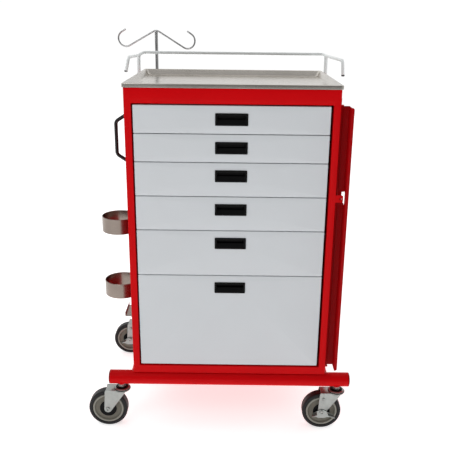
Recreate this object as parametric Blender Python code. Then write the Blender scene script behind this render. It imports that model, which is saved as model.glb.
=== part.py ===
"""Crash cart: a steel drawer cabinet on a round-tube base with swivel casters.

Cabinet coordinates: X to the right, Y back from the drawer fronts, Z up from the floor, in metres.
The empty crash_cart moves them so that the origin is the centre of the whole cart's footprint.
"""
import bpy
import bmesh
from math import acos, asin, atan2, cos, pi, radians, sin
from mathutils import Vector

# ---------------------------------------------------------------- driving dimensions
GAP = 0.0003
SHEET = 0.0015
HALF_WIDTH = 0.304
DEPTH = 0.500
BOTTOM = 0.1937
TOP = 1.087
DECK = 1.0760

DRAWER_HEIGHTS = (0.081, 0.082, 0.101, 0.104, 0.143, 0.305)
DRAWERS_TOP = 1.0396
DRAWER_X = -0.0013
DRAWER_GAP = 0.002
FRONT_HALF = 0.2780
OPENING_TOP = 1.0436
OPENING_BOTTOM = 0.2201
OPENING_HALF = 0.2840
RETURN_DEPTH = 0.030
FRONT_THICKNESS = 0.018
BOX_HALF = 0.257
BOX_BACK = 0.450
BOX_FLOOR_RISE = 0.006
BOX_RIM_DROP = 0.014
RUNNER_HALF = 0.2765
RUNNER_THICKNESS = 0.003

PULL_WIDTH = 0.093
PULL_HEIGHT = 0.035
PULL_DROP = 0.021

TRAY_SIDE_OVERHANG = 0.0045
TRAY_END_OVERHANG = 0.002
TRAY_TOP = 1.0986
TRAY_RIM = 0.003
TRAY_SLOPE = 0.013
TRAY_BASIN = 1.0790

TUBE_RADIUS = 0.02225
TUBE_WALL = 0.002
TUBE_HALF = 0.381
TUBE_Z = 0.171
FRONT_TUBE_Y = 0.011
REAR_TUBE_Y = 0.490
SIDE_TUBE_X = 0.296
CAP_THICKNESS = 0.002

CASTER_X = 0.3455
TRAIL = 0.0455
WHEEL_RADIUS = 0.0625
TYRE_HALF = 0.016
RIM_RADIUS = 0.0500
AXLE_RADIUS = 0.004
FORK_INNER = 0.0185
FORK_SHEET = 0.0025
CROWN_Z = 0.1285
PEDAL_REACH = 0.040
BRAKED = ("front_right", "rear_left")

HINGE_X = 0.3085
HINGE_Y = 0.018
BAR_BOTTOM = 0.220
BAR_TOP = 1.040
BAR_WEB = 0.0215
BAR_LEG = 0.0375
BAR_LIP = 0.0078
CURL_RADIUS = 0.0029
TONGUE_Z = 0.774
TONGUE_HALF = 0.011
TONGUE_TIP = 0.3255
SLOT_NEAR = -0.0155
SLOT_FAR = 0.0045

RAIL_RADIUS = 0.0048
POST_RADIUS = 0.0062
POST_Y = 0.452
RAIL_Z = 1.1545
RAIL_BACK_Y = 0.490

CYLINDER_X = -0.3725
CYLINDER_Y = 0.250
RING_RADIUS = 0.058
RING_HEIGHT = 0.051
RING_TOPS = (0.641, 0.413)
SHELF_Z = 0.291

POLE_X = -0.2675
POLE_Y = 0.530
POLE_RADIUS = 0.0057
POLE_TOP = 1.228
POLE_FOOT = 0.707
GUIDE_LOW = 0.627
GUIDE_HIGH = 1.037
BRACKET_LEVELS = (0.677, 0.992)
HOOK_REACH = 0.1395
HOOK_RADIUS = 0.0265
HOOK_ROD = 0.0031
HOOK_TIP = 0.018
HOOK_END = radians(58)
HOOK_LOW = 1.1655
HOOK_DROOP = 0.020
HOOK_TURN = radians(-8)

# The whole cart's extent sets the origin: left casters to right tube caps, pedals to hook tips.
LEFT_EDGE = -CASTER_X - TRAIL - WHEEL_RADIUS
RIGHT_EDGE = TUBE_HALF + CAP_THICKNESS
FRONT_EDGE = FRONT_TUBE_Y - PEDAL_REACH
BACK_EDGE = POLE_Y + (HOOK_REACH - HOOK_ROD) * sin(-HOOK_TURN) + HOOK_ROD
ORIGIN = Vector((-(LEFT_EDGE + RIGHT_EDGE) / 2, -(FRONT_EDGE + BACK_EDGE) / 2, 0))

RED = (0.50, 0.006, 0.006)
LIGHT_GREY = (0.58, 0.58, 0.60)
WHITE = (0.62, 0.66, 0.66)
BLACK = (0.012, 0.012, 0.013)
STEEL = (0.55, 0.52, 0.48)
ZINC = (0.62, 0.64, 0.64)
CHROME = (0.70, 0.69, 0.67)
WHEEL_GREY = (0.28, 0.26, 0.22)


# ---------------------------------------------------------------- helpers
def material(name, colour, roughness, metallic=0.0):
    made = bpy.data.materials.new(name)
    made.use_nodes = True
    shader = made.node_tree.nodes["Principled BSDF"]
    shader.inputs["Base Color"].default_value = (*colour, 1)
    shader.inputs["Roughness"].default_value = roughness
    shader.inputs["Metallic"].default_value = metallic
    return made


def empty(name, parent=None, location=(0, 0, 0)):
    made = bpy.data.objects.new(name, None)
    bpy.context.collection.objects.link(made)
    made.parent = parent
    made.location = location
    return made


def place(name, mesh, finish, parent, location=(0, 0, 0)):
    made = bpy.data.objects.new(name, mesh)
    bpy.context.collection.objects.link(made)
    made.parent = parent
    made.location = location
    colour, roughness, metallic = finish
    mesh.materials.clear()
    mesh.materials.append(material(name, colour, roughness, metallic))
    return made


def solid(name, loops, finish, parent, ring=False, location=(0, 0, 0), smooth=False):
    """A closed body skinned over loops of points: capped at both ends, or joined end to start."""
    bm = bmesh.new()
    rows = [[bm.verts.new(p) for p in loop] for loop in loops]
    pairs = list(zip(rows, rows[1:]))
    if ring:
        pairs.append((rows[-1], rows[0]))
    else:
        bm.faces.new(rows[0])
        bm.faces.new(rows[-1])
    for near, far in pairs:
        for i in range(len(near)):
            j = (i + 1) % len(near)
            bm.faces.new((near[i], near[j], far[j], far[i]))
    bmesh.ops.recalc_face_normals(bm, faces=bm.faces)
    mesh = bpy.data.meshes.new(name)
    bm.to_mesh(mesh)
    bm.free()
    if smooth:
        mesh.shade_smooth()
        mesh.set_sharp_from_angle(angle=radians(35))
    return place(name, mesh, finish, parent, location)


def box(name, low, high, finish, parent, location=(0, 0, 0)):
    loops = [[(low[0], low[1], z), (high[0], low[1], z), (high[0], high[1], z), (low[0], high[1], z)]
             for z in (low[2], high[2])]
    return solid(name, loops, finish, parent, location=location)


def combine(target, tool, operation):
    """Boolean with a hidden helper solid."""
    change = target.modifiers.new(tool.name, "BOOLEAN")
    change.operation = operation
    change.object = tool
    tool.hide_render = True
    tool.display_type = "WIRE"


def add(target, *tools):
    for tool in tools:
        combine(target, tool, "UNION")


def cut(target, *tools):
    for tool in tools:
        combine(target, tool, "DIFFERENCE")


def upright(x0, x1, z0, z1, y):
    """A rectangle facing the front."""
    return [(x0, y, z0), (x1, y, z0), (x1, y, z1), (x0, y, z1)]


def flat(x0, x1, y0, y1, z):
    return [(x0, y0, z), (x1, y0, z), (x1, y1, z), (x0, y1, z)]


def rounded(width, height, radius, y, z, steps=2):
    """A rectangle with round corners, facing the front, centred on x 0 and height z."""
    points = []
    for corner, (sx, sz) in enumerate(((1, 1), (-1, 1), (-1, -1), (1, -1))):
        for i in range(steps + 1):
            a = pi / 2 * (corner + i / steps)
            points.append((sx * (width / 2 - radius) + radius * cos(a), y,
                           z + sz * (height / 2 - radius) + radius * sin(a)))
    return points


def turned(name, profile, axis, finish, parent, steps=24, ring=True, location=(0, 0, 0)):
    """A body of revolution from (radius, height) points, about the X, Y or Z axis."""
    loops = []
    for i in range(steps):
        a = 2 * pi * i / steps
        loops.append([{"X": (h, r * cos(a), r * sin(a)),
                       "Y": (r * cos(a), h, r * sin(a)),
                       "Z": (r * cos(a), r * sin(a), h)}[axis] for r, h in profile])
    if not ring:
        loops = [[loop[k] for loop in loops] for k in range(len(profile))]
    return solid(name, loops, finish, parent, ring, location, smooth=True)


def rod(name, path, radius, finish, parent, sides=8, location=(0, 0, 0)):
    """A round rod along a path, with flat ends and a frame that doesn't twist."""
    path = [Vector(p) for p in path]
    ways = [(b - a).normalized() for a, b in zip(path, path[1:])]
    ways = [ways[0]] + [(a + b).normalized() for a, b in zip(ways, ways[1:])] + [ways[-1]]
    side = ways[0].orthogonal().normalized()
    loops = []
    for point, way in zip(path, ways):
        side = (side - way * side.dot(way)).normalized()
        other = way.cross(side)
        loops.append([point + radius * (cos(a) * side + sin(a) * other)
                      for a in (2 * pi * i / sides for i in range(sides))])
    return solid(name, loops, finish, parent, location=location, smooth=True)


def filleted(points, radius, steps=4):
    """The path with each inner corner replaced by an arc."""
    points = [Vector(p) for p in points]
    path = [points[0]]
    for before, corner, after in zip(points, points[1:], points[2:]):
        into = (before - corner).normalized()
        out = (after - corner).normalized()
        half = acos(max(-1, min(1, into.dot(out)))) / 2
        reach = radius * cos(half) / sin(half)
        centre = corner + (into + out).normalized() * (radius / sin(half))
        start = corner + into * reach - centre
        end = corner + out * reach - centre
        span = start.angle(end)
        for i in range(steps + 1):
            t = i / steps
            path.append(centre + (start * sin((1 - t) * span) + end * sin(t * span)) / sin(span))
    return path + [points[-1]]


def strip_outline(points, thickness):
    """The outline of a folded sheet whose middle follows the points, with mitred folds."""
    points = [Vector(p) for p in points]
    ways = [(b - a).normalized() for a, b in zip(points, points[1:])]
    near, far = [], []
    for i, point in enumerate(points):
        before = ways[max(i - 1, 0)]
        after = ways[min(i, len(ways) - 1)]
        normal = Vector((-before.y - after.y, before.x + after.x)).normalized()
        reach = thickness / 2 / normal.dot(Vector((-after.y, after.x)))
        near.append(point + normal * reach)
        far.append(point - normal * reach)
    return near + far[::-1]


# ---------------------------------------------------------------- finishes
PAINT = (RED, 0.32, 0.0)
PALE_PAINT = (LIGHT_GREY, 0.38, 0.0)
PLASTIC = (BLACK, 0.45, 0.0)
BRUSHED = (STEEL, 0.30, 1.0)
PLATED = (ZINC, 0.32, 1.0)
POLISHED = (CHROME, 0.12, 1.0)


# ---------------------------------------------------------------- cabinet
def cabinet(root):
    inside = HALF_WIDTH - SHEET
    front = SHEET + GAP
    back = DEPTH - SHEET - GAP
    outline = [(-HALF_WIDTH, BOTTOM), (HALF_WIDTH, BOTTOM), (HALF_WIDTH, TOP), (inside, TOP),
               (inside, DECK), (-inside, DECK), (-inside, TOP), (-HALF_WIDTH, TOP)]
    shell = solid("cabinet_shell", [[(x, y, z) for x, z in outline] for y in (front, back)],
                  PAINT, root)
    cut(shell, box("shell_cavity", (-inside, -DEPTH, BOTTOM + SHEET), (inside, 2 * DEPTH, DECK - SHEET),
                   PAINT, root))
    box("back_panel", (-HALF_WIDTH, DEPTH - SHEET, BOTTOM), (HALF_WIDTH, DEPTH, TOP), PAINT, root)

    outer = (-HALF_WIDTH, HALF_WIDTH, BOTTOM, TOP)
    inner = (-OPENING_HALF, OPENING_HALF, OPENING_BOTTOM, OPENING_TOP)
    lined = (-OPENING_HALF - SHEET, OPENING_HALF + SHEET, OPENING_BOTTOM - SHEET, OPENING_TOP + SHEET)
    frame = solid("front_frame", [upright(*outer, 0), upright(*inner, 0), upright(*inner, RETURN_DEPTH),
                                  upright(*lined, RETURN_DEPTH), upright(*lined, SHEET),
                                  upright(*outer, SHEET)], PAINT, root, ring=True)
    inset = 0.0001
    add(frame, box("lock_tongue", (HALF_WIDTH - 0.001, inset, TONGUE_Z - TONGUE_HALF),
                   (TONGUE_TIP, SHEET - inset, TONGUE_Z + TONGUE_HALF), PAINT, root))


def drawer_levels():
    """The bottom and top of each drawer front, from the top drawer down."""
    levels = []
    top = DRAWERS_TOP
    for height in DRAWER_HEIGHTS:
        levels.append((top - height + DRAWER_GAP, top))
        top -= height
    return levels


def drawers(root):
    for number, (low, high) in enumerate(drawer_levels(), 1):
        name = f"drawer_{number}"
        slide = empty(f"{name}_slide", root, (DRAWER_X, 0, low))
        drawer_front(name, high - low, slide)
        drawer_box(name, high - low, slide)
        pull(name, high - low - PULL_DROP - PULL_HEIGHT / 2, slide)


def drawer_front(name, height, slide):
    edge = 0.0015

    def panel(inset, y):
        return upright(-FRONT_HALF + inset, FRONT_HALF - inset, inset, height - inset, y)

    front = solid(f"{name}_front", [panel(edge, 0), panel(0, edge), panel(0, FRONT_THICKNESS),
                                    panel(SHEET, FRONT_THICKNESS), panel(SHEET, SHEET)],
                  PALE_PAINT, slide)
    middle = height - PULL_DROP - PULL_HEIGHT / 2
    hole_half = PULL_WIDTH / 2 - 0.004
    hole_rise = PULL_HEIGHT / 2 - 0.004
    cut(front, box(f"{name}_hole", (-hole_half, -0.01, middle - hole_rise),
                   (hole_half, 0.01, middle + hole_rise), PALE_PAINT, slide))


def drawer_box(name, height, slide):
    front = FRONT_THICKNESS + GAP
    floor = BOX_FLOOR_RISE
    rim = height - BOX_RIM_DROP
    outer = (-BOX_HALF, BOX_HALF, front, BOX_BACK)
    inner = (-BOX_HALF + SHEET, BOX_HALF - SHEET, front + SHEET, BOX_BACK - SHEET)
    tray = solid(f"{name}_box", [flat(*outer, floor), flat(*outer, rim), flat(*inner, rim),
                                 flat(*inner, floor + SHEET)], PALE_PAINT, slide)
    for side in (-1, 1):
        x0, x1 = sorted((side * (BOX_HALF - SHEET / 2), side * RUNNER_HALF))
        add(tray, box(f"{name}_runner_{side}", (x0, front + 0.002, rim - 0.001 - RUNNER_THICKNESS),
                      (x1, BOX_BACK - 0.002, rim - 0.001), PALE_PAINT, slide))


def pull(name, z, slide):
    """A recessed grip: a cup through the panel with a flange in front of it."""
    lip = 0.005
    face = -0.0022
    rows = [rounded(PULL_WIDTH - 0.018, PULL_HEIGHT - 0.018, 0.003, 0.0150, z),
            rounded(PULL_WIDTH - 0.009, PULL_HEIGHT - 0.009, 0.003, -GAP, z),
            rounded(PULL_WIDTH, PULL_HEIGHT, 0.005, -GAP, z),
            rounded(PULL_WIDTH, PULL_HEIGHT, 0.005, face, z),
            rounded(PULL_WIDTH - 2 * lip, PULL_HEIGHT - 2 * lip, 0.003, face, z),
            rounded(PULL_WIDTH - 0.022, PULL_HEIGHT - 0.022, 0.002, 0.0130, z)]
    solid(f"{name}_pull", rows, PLASTIC, slide)


def runner_racks(root):
    """Uprights on the side walls, with a ledge under each drawer's runner."""
    for side, label in ((-1, "left"), (1, "right")):
        wall = side * (HALF_WIDTH - SHEET - GAP)
        uprights = []
        for y in (0.045, 0.430):
            x0, x1 = sorted((wall, wall - side * 0.006))
            uprights.append(box(f"{label}_upright_{y}", (x0, y, BOTTOM + 0.008),
                                (x1, y + 0.030, DRAWERS_TOP + 0.012),
                                PALE_PAINT, root))
        rack = uprights[0]
        rack.name = f"{label}_runner_rack"
        add(rack, uprights[1])
        x0, x1 = sorted((wall - side * 0.001, side * (BOX_HALF + 0.004)))
        for number, (low, high) in enumerate(drawer_levels(), 1):
            top = high - BOX_RIM_DROP - 0.001 - RUNNER_THICKNESS - 2 * GAP
            add(rack, box(f"{label}_ledge_{number}", (x0, 0.040, top - 0.0025), (x1, 0.465, top),
                          PALE_PAINT, root))


def tray_top(root):
    def rect(inset, z):
        half = HALF_WIDTH + TRAY_SIDE_OVERHANG - inset
        return flat(-half, half, -TRAY_END_OVERHANG + inset, DEPTH + TRAY_END_OVERHANG - inset, z)

    foot = TOP + GAP
    under = TRAY_TOP - SHEET
    thin = 0.0012
    below = [rect(TRAY_RIM + TRAY_SLOPE - thin, TRAY_BASIN - SHEET), rect(TRAY_RIM - thin / 2, under),
             rect(thin, under), rect(thin, foot)]
    above = [rect(0, foot), rect(0, TRAY_TOP), rect(TRAY_RIM, TRAY_TOP),
             rect(TRAY_RIM + TRAY_SLOPE, TRAY_BASIN)]
    solid("tray_top", below + above, BRUSHED, root)


# ---------------------------------------------------------------- rail, handle, cylinder holder
def guard_rail(root):
    """A bent rail round the back and both sides, on two posts screwed to the cabinet sides."""
    dip = {"left": (-0.3205, POST_Y, RAIL_Z - 0.0075), "right": (0.3150, POST_Y, RAIL_Z - 0.003)}
    foot = {"left": (-0.3225, POST_Y, TOP - 0.062), "right": (0.3165, POST_Y, TOP - 0.062)}
    path = [(-0.328, 0.220, RAIL_Z - 0.043), (-0.3185, 0.220, RAIL_Z), dip["left"],
            (-0.307, RAIL_BACK_Y, RAIL_Z), (0.310, RAIL_BACK_Y, RAIL_Z), dip["right"],
            (0.327, 0.170, RAIL_Z), (0.330, 0.170, RAIL_Z - 0.045)]
    finish = (WHITE, 0.35, 0.0)
    rail = rod("guard_rail", filleted(path, 0.014, 3), RAIL_RADIUS, finish, root)
    pad_depth = 0.018
    for side, label in ((-1, "left"), (1, "right")):
        post = rod(f"{label}_post", [dip[label], foot[label]], POST_RADIUS, finish, root)
        x0, x1 = sorted((side * (HALF_WIDTH + GAP), side * 0.3180))
        pad = box(f"{label}_pad", (x0, POST_Y - pad_depth, TOP - 0.056),
                  (x1, POST_Y + pad_depth, TOP - 0.026), finish, root)
        add(rail, post, pad)


def push_handle(root):
    side = -HALF_WIDTH - GAP
    grip_x = -0.3716
    grip_top = 0.9535
    grip_bottom = 0.847
    radius = 0.0058
    start_x = side - 0.0034
    rise = 0.65 * (start_x - grip_x)
    path = [(start_x, CYLINDER_Y, grip_bottom - rise), (grip_x, CYLINDER_Y, grip_bottom),
            (grip_x, CYLINDER_Y, grip_top), (start_x, CYLINDER_Y, grip_top + rise)]
    handle = rod("push_handle", filleted(path, 0.016, 3), radius, (BLACK, 0.35, 0.0), root, 8)
    for label, z in (("low", path[0][2]), ("high", path[-1][2])):
        add(handle, box(f"handle_foot_{label}", (side - 0.004, CYLINDER_Y - 0.011, z - 0.018),
                        (side, CYLINDER_Y + 0.011, z + 0.018), PLASTIC, root))


def cylinder_holder(root):
    """Two bands and a foot rest that hold an oxygen cylinder upright."""
    side = -HALF_WIDTH - GAP
    for label, top in zip(("upper", "lower"), RING_TOPS):
        profile = [(RING_RADIUS, 0), (RING_RADIUS, RING_HEIGHT), (RING_RADIUS - SHEET, RING_HEIGHT),
                   (RING_RADIUS - SHEET, 0)]
        ring = turned(f"{label}_cylinder_ring", profile, "Z", BRUSHED, root, 28,
                      location=(CYLINDER_X, CYLINDER_Y, top - RING_HEIGHT))
        tab = box(f"{label}_ring_tab", (CYLINDER_X + RING_RADIUS - 0.0012, CYLINDER_Y - 0.018,
                                        top - RING_HEIGHT + 0.004),
                  (side, CYLINDER_Y + 0.018, top - 0.004), BRUSHED, root)
        clear = turned(f"{label}_ring_clearance", [(RING_RADIUS - SHEET / 2, -0.01),
                                                   (RING_RADIUS - SHEET / 2, RING_HEIGHT + 0.01)],
                       "Z", BRUSHED, root, 28, False, ring.location)
        cut(tab, clear)
        add(ring, tab)

    outline = [(side, SHELF_Z + 0.014), (side - SHEET, SHELF_Z + 0.014), (side - SHEET, SHELF_Z + SHEET),
               (-0.3585, SHELF_Z + SHEET), (-0.3585, SHELF_Z + 0.014), (-0.360, SHELF_Z + 0.014),
               (-0.360, SHELF_Z), (side, SHELF_Z)]
    solid("cylinder_foot_rest", [[(x, y, z) for x, z in outline]
                                 for y in (CYLINDER_Y - 0.045, CYLINDER_Y + 0.045)], BRUSHED, root)


# ---------------------------------------------------------------- infusion pole
def infusion_pole(root):
    clear = POLE_RADIUS + 0.0005
    length = GUIDE_HIGH - GUIDE_LOW
    tube = turned("pole_guide_tube", [(0.0085, 0), (0.0085, length), (clear, length), (clear, 0)],
                  "Z", PLATED, root, 16, location=(POLE_X, POLE_Y, GUIDE_LOW))
    for label, z in zip(("low", "high"), BRACKET_LEVELS):
        bracket = box(f"tube_bracket_{label}", (POLE_X - 0.016, DEPTH + GAP, z),
                      (POLE_X + 0.016, POLE_Y - 0.0075, z + 0.030), PLATED, root)
        add(tube, bracket)

    collar_height = 0.022
    collar_z = GUIDE_HIGH + GAP
    screw_z = collar_z + collar_height / 2
    collar = turned("pole_collar", [(0.013, 0), (0.013, collar_height), (clear, collar_height), (clear, 0)],
                    "Z", PLASTIC, root, 16, location=(POLE_X, POLE_Y, collar_z))
    cut(collar, turned("screw_hole", [(0.0034, -0.0005), (0.0034, 0.020)], "X", PLASTIC, root, 8, False,
                       (POLE_X - 0.020, POLE_Y, screw_z)))

    turn = empty("pole_knob_turn", root, (POLE_X, POLE_Y, screw_z))
    grip = -0.0150
    turned("pole_knob", [(0.0030, -0.0066), (0.0030, grip), (0.0100, grip), (0.0110, grip - 0.002),
                         (0.0110, grip - 0.012), (0.0095, grip - 0.014)],
           "X", PLASTIC, turn, 12, False)

    slide = empty("infusion_pole_slide", root, (POLE_X, POLE_Y, 0))
    pole = rod("infusion_pole", [(0, 0, POLE_FOOT), (0, 0, POLE_TOP - 0.003)], POLE_RADIUS,
               POLISHED, slide, 10)
    add(pole, rod("hook_bar", hook_path(), HOOK_ROD, POLISHED, slide, 6))


def hook_path():
    """Both arms slope from the pole's top to a round hook with a straight tip; the right one sits lower."""
    centre = Vector((HOOK_REACH - HOOK_RADIUS - HOOK_ROD, HOOK_LOW + HOOK_RADIUS + HOOK_ROD))
    reach = Vector((centre.x, centre.y - POLE_TOP))
    slope = atan2(reach.y, reach.x) - asin(HOOK_RADIUS / reach.length)
    start = slope - pi / 2
    end = HOOK_END
    steps = 8
    arc = [start + (end - start) * i / steps for i in range(steps + 1)]
    arm = [(centre.x + HOOK_RADIUS * cos(a), centre.y + HOOK_RADIUS * sin(a)) for a in arc]
    last = Vector(arm[-1]) + HOOK_TIP * Vector((-sin(end), cos(end)))
    arm.append(tuple(last))
    bend = filleted([(-arm[0][0], 0, arm[0][1]), (0, 0, POLE_TOP), (arm[0][0], 0, arm[0][1])], 0.020, 4)
    path = [(-u, z) for u, z in arm[:0:-1]] + [(p.x, p.z) for p in bend] + arm[1:]
    return [(u * cos(HOOK_TURN), u * sin(HOOK_TURN), z - HOOK_DROOP * u) for u, z in path]


# ---------------------------------------------------------------- drawer lock
def lock_bar(root):
    """A folded bar that turns about an upright pin line beside the right stile; open at rest."""
    turn = empty("lock_bar_turn", root, (HINGE_X, HINGE_Y, 0))
    curl = [(CURL_RADIUS * cos(a), CURL_RADIUS * sin(a)) for a in (radians(360 - 30 * i) for i in range(9))]
    middle = curl + [(0, CURL_RADIUS), (BAR_WEB, CURL_RADIUS), (BAR_WEB, -BAR_LEG),
                     (BAR_WEB + BAR_LIP, -BAR_LEG)]
    outline = strip_outline(middle, SHEET)
    bar = solid("lock_bar", [[(p.x, p.y, z) for p in outline] for z in (BAR_BOTTOM, BAR_TOP)], PAINT, turn)
    slot_half = TONGUE_HALF + 0.010
    cut(bar, box("lock_slot", (BAR_WEB - 0.0065, SLOT_NEAR, TONGUE_Z - slot_half),
                 (BAR_WEB + 0.002, SLOT_FAR, TONGUE_Z + slot_half), PAINT, turn))
    lock_hinge("upper_lock_hinge", BAR_TOP, 1, 0.022, root)
    lock_hinge("lower_lock_hinge", BAR_BOTTOM, -1, 0.010, root)


def lock_hinge(name, z, up, flange, root):
    """An angle bracket on the cabinet side, with a pin into the bar's curl."""
    side = HALF_WIDTH + GAP
    plate = 0.003
    lows = sorted((z + up * 0.0005, z + up * (0.0005 + plate)))
    bracket = box(name, (side, HINGE_Y - 0.007, lows[0]), (HINGE_X + 0.0045, HINGE_Y + 0.007, lows[1]),
                  PAINT, root)
    walls = sorted((z + up * 0.0008, z + up * (0.0005 + flange)))
    wall = box(f"{name}_wall", (side + 0.00001, HINGE_Y - 0.0069, walls[0]),
               (side + 0.002, HINGE_Y + 0.0069, walls[1]), PAINT, root)
    ends = sorted((-up * 0.020, up * 0.001))
    pin = turned(f"{name}_pin", [(0.0018, ends[0]), (0.0018, ends[1])], "Z", PAINT, root, 12, False,
                 (HINGE_X, HINGE_Y, z))
    add(bracket, wall, pin)


# ---------------------------------------------------------------- base
def tube_solid(name, start, end, radius, root):
    return rod(name, [start, end], radius, PAINT, root, 16)


def base_frame(root):
    """Two cross tubes and two side tubes, hollow, with a socket over each caster."""
    inner = TUBE_RADIUS - TUBE_WALL
    lines = [((-TUBE_HALF, FRONT_TUBE_Y), (TUBE_HALF, FRONT_TUBE_Y)),
             ((-TUBE_HALF, REAR_TUBE_Y), (TUBE_HALF, REAR_TUBE_Y)),
             ((-SIDE_TUBE_X, FRONT_TUBE_Y), (-SIDE_TUBE_X, REAR_TUBE_Y)),
             ((SIDE_TUBE_X, FRONT_TUBE_Y), (SIDE_TUBE_X, REAR_TUBE_Y))]
    names = ("base_frame", "rear_tube", "left_tube", "right_tube")
    tubes = [tube_solid(name, (*a, TUBE_Z), (*b, TUBE_Z), TUBE_RADIUS - 0.0001 * (i > 1), root)
             for i, (name, (a, b)) in enumerate(zip(names, lines))]
    frame = tubes[0]
    add(frame, *tubes[2:], tubes[1])
    for x, y, label in caster_places():
        add(frame, turned(f"{label}_socket", [(0.0105, 0.1465), (0.0105, TUBE_Z - 0.010)], "Z", PAINT, root,
                          10, False, (x, y, 0)))
    for i, (a, b) in enumerate(lines):
        run = Vector(b) - Vector(a)
        over = run.normalized() * (0.01 if i < 2 else 0)
        a, b = Vector(a) - over, Vector(b) + over
        cut(frame, tube_solid(f"{names[i]}_bore", (*a, TUBE_Z), (*b, TUBE_Z), inner - 0.0001 * (i > 1), root))


def tube_caps(root):
    places = [(side, y, f"{where}_{label}_tube_cap") for where, y in (("front", FRONT_TUBE_Y),
                                                                       ("rear", REAR_TUBE_Y))
              for side, label in ((-1, "left"), (1, "right"))]
    plug = TUBE_RADIUS - TUBE_WALL - 0.0004
    for side, y, name in places:
        profile = [(plug, -0.010), (plug, GAP), (TUBE_RADIUS, GAP), (TUBE_RADIUS, CAP_THICKNESS - 0.0008),
                   (TUBE_RADIUS - 0.0008, CAP_THICKNESS)]
        turned(name, [(r, side * h) for r, h in profile], "X", PLASTIC, root, 16, False,
               (side * TUBE_HALF, y, TUBE_Z))


# ---------------------------------------------------------------- casters
def caster_places():
    return [(-CASTER_X, FRONT_TUBE_Y, "front_left"), (CASTER_X, FRONT_TUBE_Y, "front_right"),
            (-CASTER_X, REAR_TUBE_Y, "rear_left"), (CASTER_X, REAR_TUBE_Y, "rear_right")]


def casters(root):
    for x, y, label in caster_places():
        stem(label, (x, y, 0), root)
        swivel = empty(f"{label}_swivel", root, (x, y, 0))
        fork(label, swivel)
        spin = empty(f"{label}_axle", swivel, (-TRAIL, 0, WHEEL_RADIUS))
        wheel(label, spin)
        if label in BRAKED:
            brake_pedal(label, spin)


def stem(label, location, root):
    """The fixed half of the swivel: a raceway cup with a stem up to the socket."""
    profile = [(0.0240, 0.1320), (0.0250, 0.1340), (0.0110, 0.1390), (0.0085, 0.1400), (0.0085, 0.1462)]
    turned(f"{label}_stem", profile, "Z", PLATED, root, 16, False, location)


def fork(label, swivel):
    top = CROWN_Z + 0.003
    crown = turned(f"{label}_fork", [(0.0220, CROWN_Z - 0.004), (0.0275, CROWN_Z), (0.0270, top)],
                   "Z", PLATED, swivel, 16, False)
    outer = FORK_INNER + FORK_SHEET
    bridge = box(f"{label}_bridge", (-TRAIL - 0.008, -outer, CROWN_Z), (0.004, outer, top - 0.0002),
                 PLATED, swivel)
    add(crown, bridge)
    for side in (-1, 1):
        ys = (side * FORK_INNER, side * outer)
        add(crown, solid(f"{label}_leg_{side}", [[(x, y, z) for x, z in leg_outline()] for y in ys],
                         PLATED, swivel))
    reach = outer + (0.0062 if label in BRAKED else 0.0030)
    head = 0.0070
    bolt = [(AXLE_RADIUS, outer - 0.0005), (AXLE_RADIUS, -reach + 0.003), (head, -reach + 0.003),
            (head, -reach + 0.001), (head - 0.001, -reach)]
    if label not in BRAKED:
        bolt = [(AXLE_RADIUS, outer - 0.0005), (AXLE_RADIUS, -outer + 0.0005), (head, -outer + 0.0005),
                (head, -reach + 0.001), (head - 0.001, -reach)]
    nut = [(head, outer - 0.0004), (head, outer + 0.0040)]
    axle_at = (-TRAIL, 0, WHEEL_RADIUS)
    add(crown, turned(f"{label}_bolt", bolt, "Y", PLATED, swivel, 10, False, axle_at),
        turned(f"{label}_nut", nut, "Y", PLATED, swivel, 6, False, axle_at))


def leg_outline():
    """The fork leg: a tapered plate with a round end at the axle."""
    end = 0.0120
    top = CROWN_Z + 0.0010
    left = -TRAIL - 0.0080
    right = 0.0105
    centre = Vector((-TRAIL, WHEEL_RADIUS))

    def tangent(corner, turn):
        way = Vector(corner) - centre
        angle = atan2(way.y, way.x) + turn * acos(end / way.length)
        return angle

    a = tangent((right, top), -1)
    b = tangent((left, top), 1) - 2 * pi
    steps = 6
    arc = [a + (b - a) * i / steps for i in range(steps + 1)]
    return [(left, top), (right, top)] + [(centre.x + end * cos(t), centre.y + end * sin(t)) for t in arc]


def wheel(label, spin):
    hub = FORK_INNER - 0.0008
    bore = AXLE_RADIUS + 0.0004
    half = [(bore, hub), (0.0265, hub - 0.0030), (0.0285, hub - 0.0060), (RIM_RADIUS, hub - 0.0040)]
    profile = half + [(r, -h) for r, h in half[::-1]]
    turned(f"{label}_wheel", profile, "Y", (WHEEL_GREY, 0.5, 0.0), spin, 24)
    tread = [(RIM_RADIUS + 2 * GAP, TYRE_HALF - 0.0030), (0.0560, TYRE_HALF),
             (0.0605, TYRE_HALF - 0.0020), (WHEEL_RADIUS, TYRE_HALF - 0.0065)]
    profile = tread + [(r, -h) for r, h in tread[::-1]]
    turned(f"{label}_tyre", profile, "Y", (BLACK, 0.6, 0.0), spin, 32)


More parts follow.
